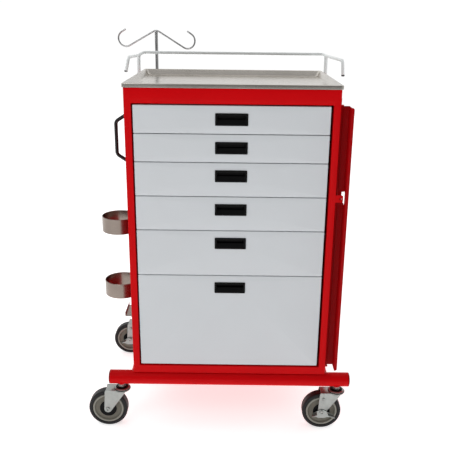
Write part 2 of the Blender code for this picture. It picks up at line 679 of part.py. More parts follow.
def brake_pedal(label, spin):
    """A rocking lever on the axle's outer end, with a foot pad on each side."""
    near = -(FORK_INNER + FORK_SHEET + 0.0006)
    plate = 0.0020
    outline = [(-0.030, -0.006), (-0.012, 0.006), (-0.004, 0.0095), (0.005, 0.0095), (0.012, 0.006),
               (0.040, -0.010), (0.038, -0.016), (0.016, -0.018), (0.006, -0.021), (-0.010, -0.021),
               (-0.017, -0.017), (-0.030, -0.012)]
    pedal = solid(f"{label}_brake_pedal", [[(x, y, z) for x, z in outline] for y in (near, near - plate)],
                  PLATED, spin)
    cut(pedal, turned(f"{label}_pedal_hole", [(AXLE_RADIUS + 0.0004, -0.05), (AXLE_RADIUS + 0.0004, 0)],
                      "Y", PLATED, spin, 16, False))
    front = -PEDAL_REACH
    left = [(-0.033, -0.006), (-0.016, 0.0015), (-0.0155, -0.0005), (-0.0325, -0.008)]
    right = [(0.020, -0.0005), (0.042, -0.0095), (0.0415, -0.0115), (0.0195, -0.0025)]
    for side, pad in (("left", left), ("right", right)):
        add(pedal, solid(f"{label}_pad_{side}", [[(x, y, z) for x, z in pad] for y in (near - 0.0005, front)],
                         PLATED, spin))


# ---------------------------------------------------------------- build
def main():
    for old in list(bpy.data.objects):
        bpy.data.objects.remove(old, do_unlink=True)
    root = empty("crash_cart", location=ORIGIN)
    cabinet(root)
    drawers(root)
    runner_racks(root)
    tray_top(root)
    guard_rail(root)
    push_handle(root)
    cylinder_holder(root)
    infusion_pole(root)
    lock_bar(root)
    base_frame(root)
    tube_caps(root)
    casters(root)


main()
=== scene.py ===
"""Looks of the crash cart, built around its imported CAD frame.

Everything is in metres in the row frame: +X to the right, +Y from the drawer fronts to the back, +Z up.
Each builder reads its place from the CAD node's box and adds only the small sizes of its own details.
"""
from math import acos, asin, atan2, cos, pi, radians, sin

import bmesh
import bpy
from mathutils import Matrix, Vector


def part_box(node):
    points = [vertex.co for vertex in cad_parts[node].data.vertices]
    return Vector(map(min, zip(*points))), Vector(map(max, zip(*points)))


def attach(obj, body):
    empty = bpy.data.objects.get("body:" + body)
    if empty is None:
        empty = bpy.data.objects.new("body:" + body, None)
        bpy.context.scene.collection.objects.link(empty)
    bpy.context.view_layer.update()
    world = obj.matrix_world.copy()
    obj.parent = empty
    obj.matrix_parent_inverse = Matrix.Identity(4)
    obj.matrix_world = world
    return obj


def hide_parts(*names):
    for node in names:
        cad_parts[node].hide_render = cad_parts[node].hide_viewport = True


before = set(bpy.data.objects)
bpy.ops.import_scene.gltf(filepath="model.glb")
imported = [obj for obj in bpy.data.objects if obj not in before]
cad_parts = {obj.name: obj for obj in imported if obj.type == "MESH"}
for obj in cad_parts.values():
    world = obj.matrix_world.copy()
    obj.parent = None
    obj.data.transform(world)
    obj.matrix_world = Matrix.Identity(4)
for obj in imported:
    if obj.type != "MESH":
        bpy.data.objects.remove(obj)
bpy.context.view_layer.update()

# ---------------------------------------------------------------- places read from the frame
SHEET = 0.0015
GAP = 0.0003
SHELL_LOW, SHELL_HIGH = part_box("cabinet_shell")
FRAME_LOW, FRAME_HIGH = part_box("front_frame")
BACK_LOW, BACK_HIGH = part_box("back_panel")
CENTRE_X = (SHELL_LOW.x + SHELL_HIGH.x) / 2
FRONT_Y = FRAME_LOW.y
BACK_Y = BACK_HIGH.y
DRAWER_NUMBERS = range(1, 7)
CASTERS = ("front_left", "front_right", "rear_left", "rear_right")
BRAKED = ("front_right", "rear_left")
TONGUE_Z = SHELL_LOW.z + 0.5803

# ---------------------------------------------------------------- view
LENS = 51.5
EYE = Vector((CENTRE_X + 0.0018, FRONT_Y - 1.841, 1.283))
PITCH = radians(18.18)
ROLL = radians(0.62)
YAW = radians(-0.23)


def middle(node):
    low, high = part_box(node)
    return (low + high) / 2


# ---------------------------------------------------------------- outlines and paths
def quarter(steps):
    """The angles of a quarter turn, both ends included."""
    return [pi / 2 * i / steps for i in range(steps + 1)]


def arc(centre, radius, start, end, steps):
    """Points of a flat arc, as (u, v) pairs."""
    return [(centre[0] + radius * cos(start + (end - start) * i / steps),
             centre[1] + radius * sin(start + (end - start) * i / steps)) for i in range(steps + 1)]


def round_rect(width, height, radius, steps=3):
    """A rectangle with round corners, centred on the origin."""
    points = []
    for quarter, (su, sv) in enumerate(((1, 1), (-1, 1), (-1, -1), (1, -1))):
        corner = (su * (width / 2 - radius), sv * (height / 2 - radius))
        points += arc(corner, radius, quarter * pi / 2, (quarter + 1) * pi / 2, steps)
    return points


def facing_front(points, x, y, z):
    return [Vector((x + u, y, z + v)) for u, v in points]


def lying(points, x, y, z):
    return [Vector((x + u, y + v, z)) for u, v in points]


def facing_side(points, x, y, z):
    return [Vector((x, y + u, z + v)) for u, v in points]


def filleted(points, radius, steps=6):
    """The path with each inner corner replaced by an arc."""
    points = [Vector(p) for p in points]
    path = [points[0]]
    for before, corner, after in zip(points, points[1:], points[2:]):
        into = (before - corner).normalized()
        out = (after - corner).normalized()
        half = acos(max(-1.0, min(1.0, into.dot(out)))) / 2
        if half > radians(89):
            path.append(corner)
            continue
        centre = corner + (into + out).normalized() * (radius / sin(half))
        reach = radius * cos(half) / sin(half)
        start = corner + into * reach - centre
        end = corner + out * reach - centre
        span = start.angle(end)
        for i in range(steps + 1):
            t = i / steps
            path.append(centre + (start * sin((1 - t) * span) + end * sin(t * span)) / sin(span))
    return path + [points[-1]]


def folded(points, thickness):
    """The outline of a sheet whose middle follows the (u, v) points."""
    points = [Vector(p[:2]) for p in points]
    ways = [(b - a).normalized() for a, b in zip(points, points[1:])]
    near, far = [], []
    for i, point in enumerate(points):
        before = ways[max(i - 1, 0)]
        after = ways[min(i, len(ways) - 1)]
        normal = Vector((-before.y - after.y, before.x + after.x)).normalized()
        reach = thickness / 2 / normal.dot(Vector((-after.y, after.x)))
        near.append(point + normal * reach)
        far.append(point - normal * reach)
    return near + far[::-1]


# ---------------------------------------------------------------- solids
def as_mesh(name, bm):
    """A mesh made from a bmesh, which is then freed."""
    mesh = bpy.data.meshes.new(name)
    bm.to_mesh(mesh)
    bm.free()
    return mesh


def placed(name, data):
    """A new object in the scene."""
    made = bpy.data.objects.new(name, data)
    bpy.context.scene.collection.objects.link(made)
    return made


class Solid:
    """Gathers closed bodies of one piece in row coordinates."""

    def __init__(self):
        self.bm = bmesh.new()

    def loft(self, rows, ring=False, soft=0.0, steps=2):
        """A skin over rows of points, capped at both ends or joined end to start."""
        made = [[self.bm.verts.new(p) for p in row] for row in rows]
        pairs = list(zip(made, made[1:]))
        faces = []
        if ring:
            pairs.append((made[-1], made[0]))
        else:
            faces += [self.bm.faces.new(made[0]), self.bm.faces.new(made[-1])]
        for near, far in pairs:
            for i in range(len(near)):
                j = (i + 1) % len(near)
                faces.append(self.bm.faces.new((near[i], near[j], far[j], far[i])))
        if soft:
            self.soften(faces, soft, steps)
        return self

    def soften(self, faces, width, steps=2):
        """Round the sharp edges of these faces."""
        bmesh.ops.recalc_face_normals(self.bm, faces=faces)
        edges = dict.fromkeys(e for f in faces for e in f.edges
                              if len(e.link_faces) == 2 and e.calc_face_angle(0) > radians(32))
        bmesh.ops.bevel(self.bm, geom=list(edges), offset=width, segments=steps, profile=0.5,
                        affect="EDGES", clamp_overlap=True)

    def block(self, low, high, soft=0.0, steps=2):
        rows = [[(low[0], low[1], z), (high[0], low[1], z), (high[0], high[1], z), (low[0], high[1], z)]
                for z in (low[2], high[2])]
        return self.loft(rows, soft=soft, steps=steps)

    def tube(self, path, radius, sides=20, domed=0.0, closed=False, flat=1.0):
        """A round rod along a path; domed ends are rounded by that length."""
        path = [Vector(p) for p in path]
        radii = [radius] * len(path)
        if domed:
            steps, first = 4, 0.08
            start_way = (path[0] - path[1]).normalized()
            end_way = (path[-1] - path[-2]).normalized()
            start, end = path[0] - start_way * domed, path[-1] - end_way * domed
            turns = [a + first for a in quarter(steps)[:-1]]
            head = [(start + start_way * domed * cos(a), radius * sin(a)) for a in turns]
            tail = [(end + end_way * domed * cos(a), radius * sin(a)) for a in turns[::-1]]
            path = [p for p, _ in head] + [start] + path[1:-1] + [end] + [p for p, _ in tail]
            radii = [r for _, r in head] + [radius] * (len(path) - 2 * steps) + [r for _, r in tail]
        count = len(path)
        if closed:
            ways = [(path[(i + 1) % count] - path[i - 1]).normalized() for i in range(count)]
        else:
            legs = [(b - a).normalized() for a, b in zip(path, path[1:])]
            ways = [legs[0]] + [(a + b).normalized() for a, b in zip(legs, legs[1:])] + [legs[-1]]
        side = ways[0].orthogonal().normalized()
        rows = []
        for point, way, r in zip(path, ways, radii):
            side = (side - way * side.dot(way)).normalized()
            other = way.cross(side)
            rows.append([point + r * (cos(a) * side + flat * sin(a) * other)
                         for a in (2 * pi * i / sides for i in range(sides))])
        return self.loft(rows, ring=closed)

    def turned(self, profile, centre, axis="Z", sides=48, ring=False, flip=1):
        """A body of revolution from (radius, height) points about an axis through the centre."""
        centre = Vector(centre)
        spots = {"X": lambda r, h, a: Vector((flip * h, r * cos(a), r * sin(a))),
                 "Y": lambda r, h, a: Vector((r * cos(a), flip * h, r * sin(a))),
                 "Z": lambda r, h, a: Vector((r * cos(a), r * sin(a), flip * h))}[axis]
        rows = [[centre + spots(r, h, 2 * pi * i / sides) for i in range(sides)] for r, h in profile]
        return self.loft(rows, ring=ring)

    def prism(self, outline, push, soft=0.0, steps=2):
        """A flat outline of 3-D points, pushed along a vector."""
        push = Vector(push)
        return self.loft([outline, [Vector(p) + push for p in outline]], soft=soft, steps=steps)

    def hexagon(self, centre, axis, radius, height, flip=1):
        """A hexagon head or nut with a turned chamfer."""
        chamfer = 0.12 * radius
        profile = [(radius - chamfer, 0), (radius, chamfer), (radius, height - chamfer),
                   (radius - chamfer, height)]
        return self.turned(profile, centre, axis, 6, flip=flip)

    def screw(self, centre, axis, radius, flip=1):
        """A domed screw head with a hexagon socket."""
        socket = 0.45 * radius
        dome = [(radius * cos(a), 0.55 * radius * sin(a)) for a in quarter(6)[:5]]
        rim = dome[-1][1]
        profile = [(radius, -0.0002)] + dome + [(socket + 0.0001, rim + 0.0001), (socket, rim * 0.4)]
        return self.turned(profile, centre, axis, 18, flip=flip)

    def finish(self, name, look, body, stands_for=(), crease=32):
        """Turns the gathered bodies into one piece that rides on a body."""
        bmesh.ops.recalc_face_normals(self.bm, faces=self.bm.faces)
        return shown(name, as_mesh(name, self.bm), look, body, stands_for, crease)


def shown(name, mesh, look, body, stands_for=(), crease=32):
    mesh.shade_smooth()
    mesh.set_sharp_from_angle(angle=radians(crease))
    material, slot = LOOKS[look]
    mesh.materials.clear()
    mesh.materials.append(material)
    piece = placed(name, mesh)
    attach(piece, body)
    if stands_for:
        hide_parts(*stands_for)
    return piece


def refined(node, look, body, soft=0.0005):
    """A CAD node's own shape as a new piece, with its folds and sheet edges rounded."""
    bm = bmesh.new()
    bm.from_mesh(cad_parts[node].data)
    bmesh.ops.remove_doubles(bm, verts=bm.verts, dist=0.00001)
    bmesh.ops.dissolve_limit(bm, angle_limit=radians(1), verts=bm.verts, edges=bm.edges)
    edges = [e for e in bm.edges if len(e.link_faces) == 2 and e.calc_face_angle(0) > radians(40)]
    bmesh.ops.bevel(bm, geom=edges, offset=soft, segments=2, profile=0.5, affect="EDGES", clamp_overlap=True)
    name = f"{node}_skin"
    return shown(name, as_mesh(name, bm), look, body, (node,))


def cut(piece, solid):
    """Cuts a gathered solid out of a finished piece."""
    bmesh.ops.recalc_face_normals(solid.bm, faces=solid.bm.faces)
    cutter = placed("cutter", as_mesh("cutter", solid.bm))
    change = piece.modifiers.new("cut", "BOOLEAN")
    change.operation = "DIFFERENCE"
    change.object = cutter
    bpy.context.view_layer.update()
    done = bpy.data.meshes.new_from_object(piece.evaluated_get(bpy.context.evaluated_depsgraph_get()))
    piece.modifiers.clear()
    old = piece.data
    piece.data = done
    bpy.data.meshes.remove(old)
    bpy.data.objects.remove(cutter)
    done.set_sharp_from_angle(angle=radians(32))


# ---------------------------------------------------------------- materials
class Nodes:
    """Small helper that wires one material's nodes."""

    def __init__(self, name, colour, roughness, metallic=0.0, gloss=0.5):
        self.material = bpy.data.materials.new(name)
        self.material.use_nodes = True
        self.tree = self.material.node_tree
        self.shader = self.tree.nodes["Principled BSDF"]
        self.material.diffuse_color = (*colour, 1)
        self.shader.inputs["Metallic"].default_value = metallic
        self.shader.inputs["Base Color"].default_value = (*colour, 1)
        self.shader.inputs["Roughness"].default_value = roughness
        self.shader.inputs["Specular IOR Level"].default_value = gloss
        self.places = self.tree.nodes.new("ShaderNodeTexCoord").outputs["Object"]

    def link(self, source, target):
        self.tree.links.new(source, target)

    def stretch(self, scale):
        node = self.tree.nodes.new("ShaderNodeMapping")
        node.inputs["Scale"].default_value = scale
        self.link(self.places, node.inputs["Vector"])
        return node.outputs["Vector"]

    def noise(self, scale, detail=3.0, rough=0.5, places=None):
        node = self.tree.nodes.new("ShaderNodeTexNoise")
        node.inputs["Scale"].default_value = scale
        node.inputs["Detail"].default_value = detail
        node.inputs["Roughness"].default_value = rough
        self.link(places or self.places, node.inputs["Vector"])
        return node.outputs["Fac"]

    def cells(self, scale):
        node = self.tree.nodes.new("ShaderNodeTexVoronoi")
        node.inputs["Scale"].default_value = scale
        self.link(self.places, node.inputs["Vector"])
        return node.outputs["Distance"]

    def spread(self, value, low, high, to_low, to_high):
        node = self.tree.nodes.new("ShaderNodeMapRange")
        for socket, number in zip(("From Min", "From Max", "To Min", "To Max"), (low, high, to_low, to_high)):
            node.inputs[socket].default_value = number
        self.link(value, node.inputs["Value"])
        return node.outputs["Result"]

    def fade(self, value, colour, dark, light, low=0.3, high=0.7):
        """The base colour goes from dark to light times the colour as the value goes from low to high."""
        node = self.tree.nodes.new("ShaderNodeMix")
        node.data_type = "RGBA"
        self.link(self.spread(value, low, high, 0, 1), node.inputs[0])
        for socket, factor in ((6, dark), (7, light)):
            node.inputs[socket].default_value = (*(min(1.0, c * factor) for c in colour), 1)
        self.link(node.outputs[2], self.shader.inputs["Base Color"])

    def roughness(self, value):
        self.link(value, self.shader.inputs["Roughness"])

    def bumps(self, *layers):
        """Each layer is (height, strength, distance); they add up."""
        below = None
        for height, strength, distance in layers:
            node = self.tree.nodes.new("ShaderNodeBump")
            node.inputs["Strength"].default_value = strength
            node.inputs["Distance"].default_value = distance
            self.link(height, node.inputs["Height"])
            if below:
                self.link(below, node.inputs["Normal"])
            below = node.outputs["Normal"]
        self.link(below, self.shader.inputs["Normal"])

    def coat(self, weight, roughness):
        self.shader.inputs["Coat Weight"].default_value = weight
        self.shader.inputs["Coat Roughness"].default_value = roughness


def powder_coat(name, colour, roughness, peel=0.10, vary=0.03, coat=0.0, gloss=0.3):
    """Baked powder coat: an orange-peel skin, faint cloudiness and fine speckle."""
    look = Nodes(name, colour, roughness, gloss=gloss)
    clouds = look.noise(7.0, 4.0)
    speckle = look.noise(2600.0, 2.0, 0.7)
    look.fade(clouds, colour, 1 - vary, 1 + vary)
    look.roughness(look.spread(speckle, 0.3, 0.7, roughness - 0.05, roughness + 0.06))
    look.bumps((look.noise(420.0, 2.0, 0.45), peel, 0.0006), (look.noise(26.0, 2.0), 0.05, 0.0012),
               (speckle, 0.03, 0.0002))
    look.coat(coat, 0.12)
    return look.material


def brushed_steel(name, colour, roughness, grain=(3.0, 900.0, 900.0), streak=0.10):
    """Stainless sheet with its brushing along X."""
    look = Nodes(name, colour, roughness, 1.0)
    lines = look.noise(1.0, 4.0, 0.6, look.stretch(grain))
    clouds = look.noise(9.0, 3.0)
    look.fade(clouds, colour, 1 - streak, 1.04)
    look.roughness(look.spread(lines, 0.25, 0.75, roughness - 0.06, roughness + 0.10))
    look.bumps((lines, 0.10, 0.0002), (look.noise(14.0, 1.0), 0.10, 0.0010))
    return look.material


def plated_steel(name, colour, roughness, spangle=420.0, vary=0.10):
    """Zinc plate: small crystals, dull patches and fine handling marks."""
    look = Nodes(name, colour, roughness, 1.0)
    crystals = look.cells(spangle)
    patches = look.noise(60.0, 4.0, 0.6)
    look.fade(patches, colour, 1 - vary, 1.05)
    look.roughness(look.spread(crystals, 0.0, 0.7, roughness - 0.05, roughness + 0.12))
    look.bumps((look.noise(900.0, 3.0), 0.06, 0.0002), (patches, 0.08, 0.0006))
    return look.material


def polished_steel(name, colour, roughness):
    """Bright drawn steel with faint lengthwise drawing lines and smudges."""
    look = Nodes(name, colour, roughness, 1.0)
    lines = look.noise(1.0, 3.0, 0.6, look.stretch((1500.0, 1500.0, 8.0)))
    smudges = look.noise(45.0, 4.0, 0.6)
    look.fade(smudges, colour, 0.93, 1.04, 0.35, 0.65)
    look.roughness(look.spread(smudges, 0.35, 0.75, roughness - 0.03, roughness + 0.10))
    look.bumps((lines, 0.05, 0.0001), (smudges, 0.03, 0.0004))
    return look.material


def moulded_plastic(name, colour, roughness, grain=1500.0, strength=0.20, vary=0.12):
    """Moulded plastic: a leathery spark-erosion grain with slightly uneven gloss."""
    look = Nodes(name, colour, roughness, gloss=0.08)
    clouds = look.noise(35.0, 3.0)
    skin = look.noise(grain, 3.0, 0.6)
    look.fade(clouds, colour, 1 - vary, 1 + vary)
    look.roughness(look.spread(clouds, 0.3, 0.7, roughness - 0.05, roughness + 0.07))
    look.bumps((skin, strength, 0.0003), (look.noise(70.0, 2.0), 0.05, 0.0006))
    return look.material


def tyre_rubber(name, colour, roughness):
    """Solid rubber tread: matt, dusty in patches, with fine pores."""
    look = Nodes(name, colour, roughness, gloss=0.28)
    dust = look.noise(38.0, 5.0, 0.65)
    pores = look.cells(1800.0)
    look.fade(dust, colour, 1, 2.2, 0.42, 0.78)
    look.roughness(look.spread(dust, 0.3, 0.7, roughness - 0.10, roughness + 0.10))
    look.bumps((pores, 0.12, 0.0002), (look.noise(120.0, 3.0), 0.08, 0.0005))
    return look.material


LOOKS = {
    "red": (powder_coat("red_powder_coat", (0.585, 0.0014, 0.0036), 0.38, coat=0.02, gloss=0.05),
            "red_paint"),
    # A darker copy of the red paint for the lock bar: painted shade, for the shadow the bar stands in beside
    # the cabinet.
    "red_painted_shade": (powder_coat("red_painted_shade_coat", (0.34, 0.0008, 0.0024), 0.38, coat=0.02, gloss=0.05),
                "red_paint"),
    "pale": (powder_coat("pale_powder_coat", (0.62, 0.645, 0.668), 0.40, 0.08, 0.012, 0.10), "pale_paint"),
    "white": (powder_coat("rail_coat", (0.87, 0.90, 0.90), 0.34, 0.06, 0.02, 0.2), "white_coat"),
    "black_coat": (powder_coat("black_coat", (0.006, 0.006, 0.0065), 0.36, 0.10, 0.10, 0.06), "black_coat"),
    "black": (moulded_plastic("black_plastic", (0.0045, 0.0045, 0.0048), 0.42), "black_plastic"),
    "grey_plug": (moulded_plastic("grey_plug", (0.14, 0.14, 0.14), 0.50), "black_plastic"),
    "steel": (brushed_steel("brushed_stainless", (0.52, 0.49, 0.45), 0.24), "stainless"),
    "band": (brushed_steel("band_stainless", (0.27, 0.225, 0.195), 0.24, (1200.0, 1200.0, 1200.0), 0.16),
             "stainless"),
    "zinc": (plated_steel("zinc_plate", (0.36, 0.375, 0.36), 0.32), "zinc"),
    "chrome": (polished_steel("polished_steel", (0.44, 0.44, 0.44), 0.18), "chrome"),
    "wheel": (moulded_plastic("wheel_plastic", (0.185, 0.175, 0.145), 0.50, 900.0, 0.15, 0.06), "wheel_grey"),
    # A lighter copy of the wheel plastic for the rim lips: a painted highlight where the lip catches the light.
    "rim": (moulded_plastic("wheel_rim_painted_highlight", (0.29, 0.285, 0.25), 0.40, 900.0, 0.10, 0.05), "wheel_grey"),
    "tyre": (tyre_rubber("tyre_rubber", (0.0065, 0.0063, 0.0072), 0.48), "tyre"),
}


# ---------------------------------------------------------------- cabinet
def cabinet():
    refined("cabinet_shell", "red", "cart", 0.0007)
    front_frame()
    back_panel()
    for side in ("left", "right"):
        refined(f"{side}_runner_rack", "zinc", "cart", 0.0004)


def front_frame():
    """The frame around the drawers, with bent-round outer edges and returns behind the opening."""
    drawer_low, drawer_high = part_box("drawer_1_front")
    gap = 0.0060
    half = (drawer_high.x - drawer_low.x) / 2 + gap
    inner_left, inner_right = CENTRE_X - half, CENTRE_X + half
    inner_top = drawer_high.z + 0.004
    inner_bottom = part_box("drawer_6_front")[0].z - 0.0055
    bend, fold = 0.0016, 0.0007

    def outer(inset, y):
        width, height = SHELL_HIGH.x - SHELL_LOW.x, FRAME_HIGH.z - FRAME_LOW.z
        shape = round_rect(width - 2 * inset, height - 2 * inset, max(0.0021 - inset, 0.0004))
        return facing_front(shape, CENTRE_X, FRONT_Y + y, (FRAME_HIGH.z + FRAME_LOW.z) / 2)

    def opening(grow, y):
        shape = round_rect(inner_right - inner_left + 2 * grow, inner_top - inner_bottom + 2 * grow, 0.002)
        return facing_front(shape, (inner_left + inner_right) / 2, FRONT_Y + y,
                            (inner_top + inner_bottom) / 2)

    turns = quarter(4)
    rows = [outer(bend * (1 - cos(a)), bend * (1 - sin(a))) for a in turns]
    rows += [opening(fold * (1 - sin(a)), fold * (1 - cos(a))) for a in turns]
    rows += [opening(0, 0.030), opening(SHEET, 0.030), opening(SHEET, SHEET + GAP),
             outer(0.0003, SHEET + GAP)]
    face = Solid().loft(rows, ring=True)
    lock_tongue(face)
    face.finish("front_frame_skin", "red", "cart", ("front_frame",))


def lock_tongue(face):
    """The flat tongue beside the right stile, with a padlock hole and round corners."""
    tip = FRAME_HIGH.x
    half_high = 0.011
    z = TONGUE_Z
    hole = Vector((tip - 0.0078, z))
    steps = 32
    angles = [2 * pi * i / steps for i in range(steps)]
    root_x = SHELL_HIGH.x - 0.004
    centre = Vector(((tip + root_x) / 2, z))
    outline = []
    for a in angles:
        way = Vector((cos(a), sin(a)))
        reach = min((tip - hole.x if way.x > 0 else hole.x - root_x) / max(abs(way.x), 1e-6),
                    half_high / max(abs(way.y), 1e-6))
        point = hole + way * reach
        corner = Vector((tip - 0.004, z + (half_high - 0.004) * (1 if way.y > 0 else -1)))
        if point.x > corner.x and abs(point.y - z) > abs(corner.y - z):
            point = corner + (point - corner).normalized() * 0.004
        outline.append(point)
    ring = [hole + 0.0032 * Vector((cos(a), sin(a))) for a in angles]
    near, far = FRONT_Y + 0.0001, FRONT_Y + SHEET - 0.0001
    lift = 0.0003
    rows = [[(p.x, near + lift, p.y) for p in outline],
            [(p.x + (centre.x - p.x) * 0.03, near, p.y + (z - p.y) * 0.03) for p in outline],
            [(p.x, near, p.y) for p in ring],
            [(p.x, far, p.y) for p in ring],
            [(p.x + (centre.x - p.x) * 0.03, far, p.y + (z - p.y) * 0.03) for p in outline],
            [(p.x, far - lift, p.y) for p in outline]]
    face.loft(rows, ring=True)


def back_panel():
    """The back sheet: rounded edges, a shallow stiffening panel and a row of screws down each side."""
    width, height = BACK_HIGH.x - BACK_LOW.x, BACK_HIGH.z - BACK_LOW.z
    centre = (BACK_LOW + BACK_HIGH) / 2

    def row(inset, y):
        return facing_front(round_rect(width - 2 * inset, height - 2 * inset, 0.002), centre.x, y, centre.z)

    panel = Solid().loft([row(0.0006, SHELL_HIGH.y), row(0, SHELL_HIGH.y + 0.0005), row(0, BACK_Y - 0.0007),
                          row(0.0007, BACK_Y), row(0.036, BACK_Y), row(0.040, BACK_Y - 0.0011)])
    panel.finish("back_panel_skin", "red", "cart", ("back_panel",))
    screws = Solid()
    rows = 6
    for side in (-1, 1):
        for i in range(rows):
            z = BACK_LOW.z + 0.040 + i * (height - 0.080) / (rows - 1)
            screws.screw((centre.x + side * (width / 2 - 0.016), BACK_Y, z), "Y", 0.0040)
    screws.finish("back_panel_screws", "zinc", "cart")


# ---------------------------------------------------------------- drawers
def drawers():
    for number in DRAWER_NUMBERS:
        name = f"drawer_{number}"
        drawer_front(name)
        pull(name)
        refined(f"{name}_box", "pale", name, 0.0004)


def drawer_front(name):
    """A folded pan: soft front edges, returns to the back, and a hole behind the pull."""
    low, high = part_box(f"{name}_front")
    pull_low, pull_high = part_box(f"{name}_pull")
    centre = (low + high) / 2
    hole = (pull_low + pull_high) / 2
    width, height = high.x - low.x, high.z - low.z
    edge = 0.0017

    def pan(inset, y):
        shape = round_rect(width - 2 * inset, height - 2 * inset, max(0.0020 - inset, 0.0003))
        return facing_front(shape, centre.x, low.y + y, centre.z)

    def cutout(grow, y):
        shape = round_rect(pull_high.x - pull_low.x - 0.008 + 2 * grow,
                           pull_high.z - pull_low.z - 0.008 + 2 * grow, 0.003)
        return facing_front(shape, hole.x, low.y + y, hole.z)

    turns = quarter(4)
    rows = [cutout(0, SHEET), cutout(0, 0.0004), cutout(0.0004, 0)]
    rows += [pan(edge * (1 - sin(a)), edge * (1 - cos(a))) for a in turns]
    rows += [pan(0, high.y - low.y - 0.0004), pan(0.0004, high.y - low.y), pan(SHEET, high.y - low.y),
             pan(SHEET, SHEET)]
    Solid().loft(rows, ring=True).finish(f"{name}_front_skin", "pale", name, (f"{name}_front",))


def pull(name):
    """A recessed grip: a thin flange round a cup that is deep at the top and slopes up from below."""
    low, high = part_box(f"{name}_pull")
    centre = (low + high) / 2
    width, height = high.x - low.x, high.z - low.z

    def row(side, rise, drop, y, radius):
        """side, rise and drop are how far the row lies inside the flange's side, bottom and top."""
        shape = round_rect(width - 2 * side, height - rise - drop, radius, 4)
        return facing_front(shape, centre.x, low.y + y, centre.z + (rise - drop) / 2)

    deep = high.y - low.y
    face = -0.0001
    rows = [row(0.0060, 0.0145, 0.0060, deep, 0.003), row(0.0048, 0.0120, 0.0048, deep - 0.0010, 0.004),
            row(0.0046, 0.0048, 0.0048, 0.0040, 0.003), row(0.0046, 0.0046, 0.0046, 0.0019, 0.003),
            row(0, 0, 0, 0.0019, 0.0022), row(0, 0, 0, 0.0008, 0.0022),
            row(0.0003, 0.0003, 0.0003, 0.0002, 0.0022),
            row(0.0009, 0.0009, 0.0009, face, 0.0022), row(0.0042, 0.0042, 0.0042, face, 0.0022),
            row(0.0049, 0.0049, 0.0049, 0.0003, 0.0022), row(0.0053, 0.0056, 0.0053, 0.0012, 0.0022),
            row(0.0056, 0.0100, 0.0056, 0.0036, 0.0025), row(0.0058, 0.0165, 0.0058, 0.0070, 0.003),
            row(0.0060, 0.0174, 0.0060, 0.0110, 0.003), row(0.0068, 0.0182, 0.0068, deep - 0.0016, 0.003)]
    Solid().loft(rows).finish(f"{name}_pull_skin", "black", name, (f"{name}_pull",), 28)


# ---------------------------------------------------------------- tray
def tray_top():
    """A pressed stainless tray: rounded lip, sloping inner walls and a slightly dished floor."""
    low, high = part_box("tray_top")
    centre = (low + high) / 2
    width, depth = high.x - low.x, high.y - low.y
    rim, slope, thin = 0.003, 0.013, 0.0012
    basin = high.z - 0.0196
    roll = 0.0026

    def row(inset, z, radius):
        return lying(round_rect(width - 2 * inset, depth - 2 * inset, radius, 5), centre.x, centre.y, z)

    foot = SHELL_HIGH.z + GAP
    turns = quarter(5)
    rows = [row(rim + slope - thin, basin - SHEET, 0.008), row(rim - thin / 2, high.z - SHEET, 0.006),
            row(thin, high.z - 0.003, 0.0058), row(thin, foot, 0.0058), row(0.0002, foot, 0.007),
            row(0, foot + 0.0004, 0.007)]
    rows += [row(roll * (1 - cos(a)), high.z - roll * (1 - sin(a)), 0.007) for a in turns]
    rows += [row(rim + 0.0008, high.z - 0.0004, 0.008), row(rim + 0.0022, high.z - 0.0018, 0.009),
             row(rim + slope - 0.0022, basin + 0.0030, 0.010),
             row(rim + slope - 0.0004, basin + 0.0010, 0.010),
             row(rim + slope + 0.0020, basin + 0.0002, 0.010), row(rim + slope + 0.0050, basin, 0.010)]
    Solid().loft(rows).finish("tray_top_skin", "steel", "cart", ("tray_top",), 25)


# ---------------------------------------------------------------- guard rail
RAIL_RADIUS = 0.0048
POST_RADIUS = 0.0062


def guard_rail():
    """A bent round rail with two posts, pads screwed to the cabinet sides, and plugged ends."""
    low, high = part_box("guard_rail")
    top, back = high.z - RAIL_RADIUS, high.y - RAIL_RADIUS
    left_y, right_y = FRONT_Y + 0.220, FRONT_Y + 0.170
    post_y = FRONT_Y + 0.452

    def spot(x, y, z):
        return Vector((CENTRE_X + x, y, z))

    ends = {-1: spot(-0.328, left_y, top - 0.043), 1: spot(0.330, right_y, top - 0.045)}
    dips = {-1: spot(-0.3205, post_y, top - 0.0075), 1: spot(0.3150, post_y, top - 0.003)}
    feet = {-1: spot(-0.3225, post_y, low.z + 0.0002), 1: spot(0.3165, post_y, low.z + 0.0002)}
    path = [ends[-1], spot(-0.3185, left_y, top), dips[-1], spot(-0.307, back, top), spot(0.310, back, top),
            dips[1], spot(0.327, right_y, top), ends[1]]
    rail = Solid().tube(filleted(path, 0.014, 8), RAIL_RADIUS, 20)
    pad_in, pad_out, pad_half, pad_low = 0.3043, 0.3180, 0.018, SHELL_HIGH.z - 0.056
    screws, plugs = Solid(), Solid()
    for side in (-1, 1):
        rail.tube([dips[side], feet[side]], POST_RADIUS, 24, domed=0.003)
        rail.turned([(0.0030, -0.006), (0.0068, -0.004), (0.0074, -0.002), (0.0060, 0.001), (0.0020, 0.002)],
                    dips[side], "Z", 24)
        x0, x1 = sorted((CENTRE_X + side * pad_in, CENTRE_X + side * pad_out))
        rail.block((x0, post_y - pad_half, pad_low), (x1, post_y + pad_half, pad_low + 0.030), 0.002, 3)
        plugs.turned([(RAIL_RADIUS + 0.0001, 0.004), (RAIL_RADIUS + 0.0004, 0.003),
                      (RAIL_RADIUS + 0.0004, 0.0004),
                      (RAIL_RADIUS - 0.0006, -0.0008), (0.0012, -0.0014)], ends[side], "Z", 20)
        for way in (-1, 1):
            screws.screw((CENTRE_X + side * pad_out, post_y + way * 0.0125, pad_low + 0.015), "X", 0.0034,
                         flip=side)
    rail.finish("guard_rail_tube", "white", "cart", ("guard_rail",))
    plugs.finish("guard_rail_end_plugs", "grey_plug", "cart")
    screws.finish("guard_rail_screws", "zinc", "cart")


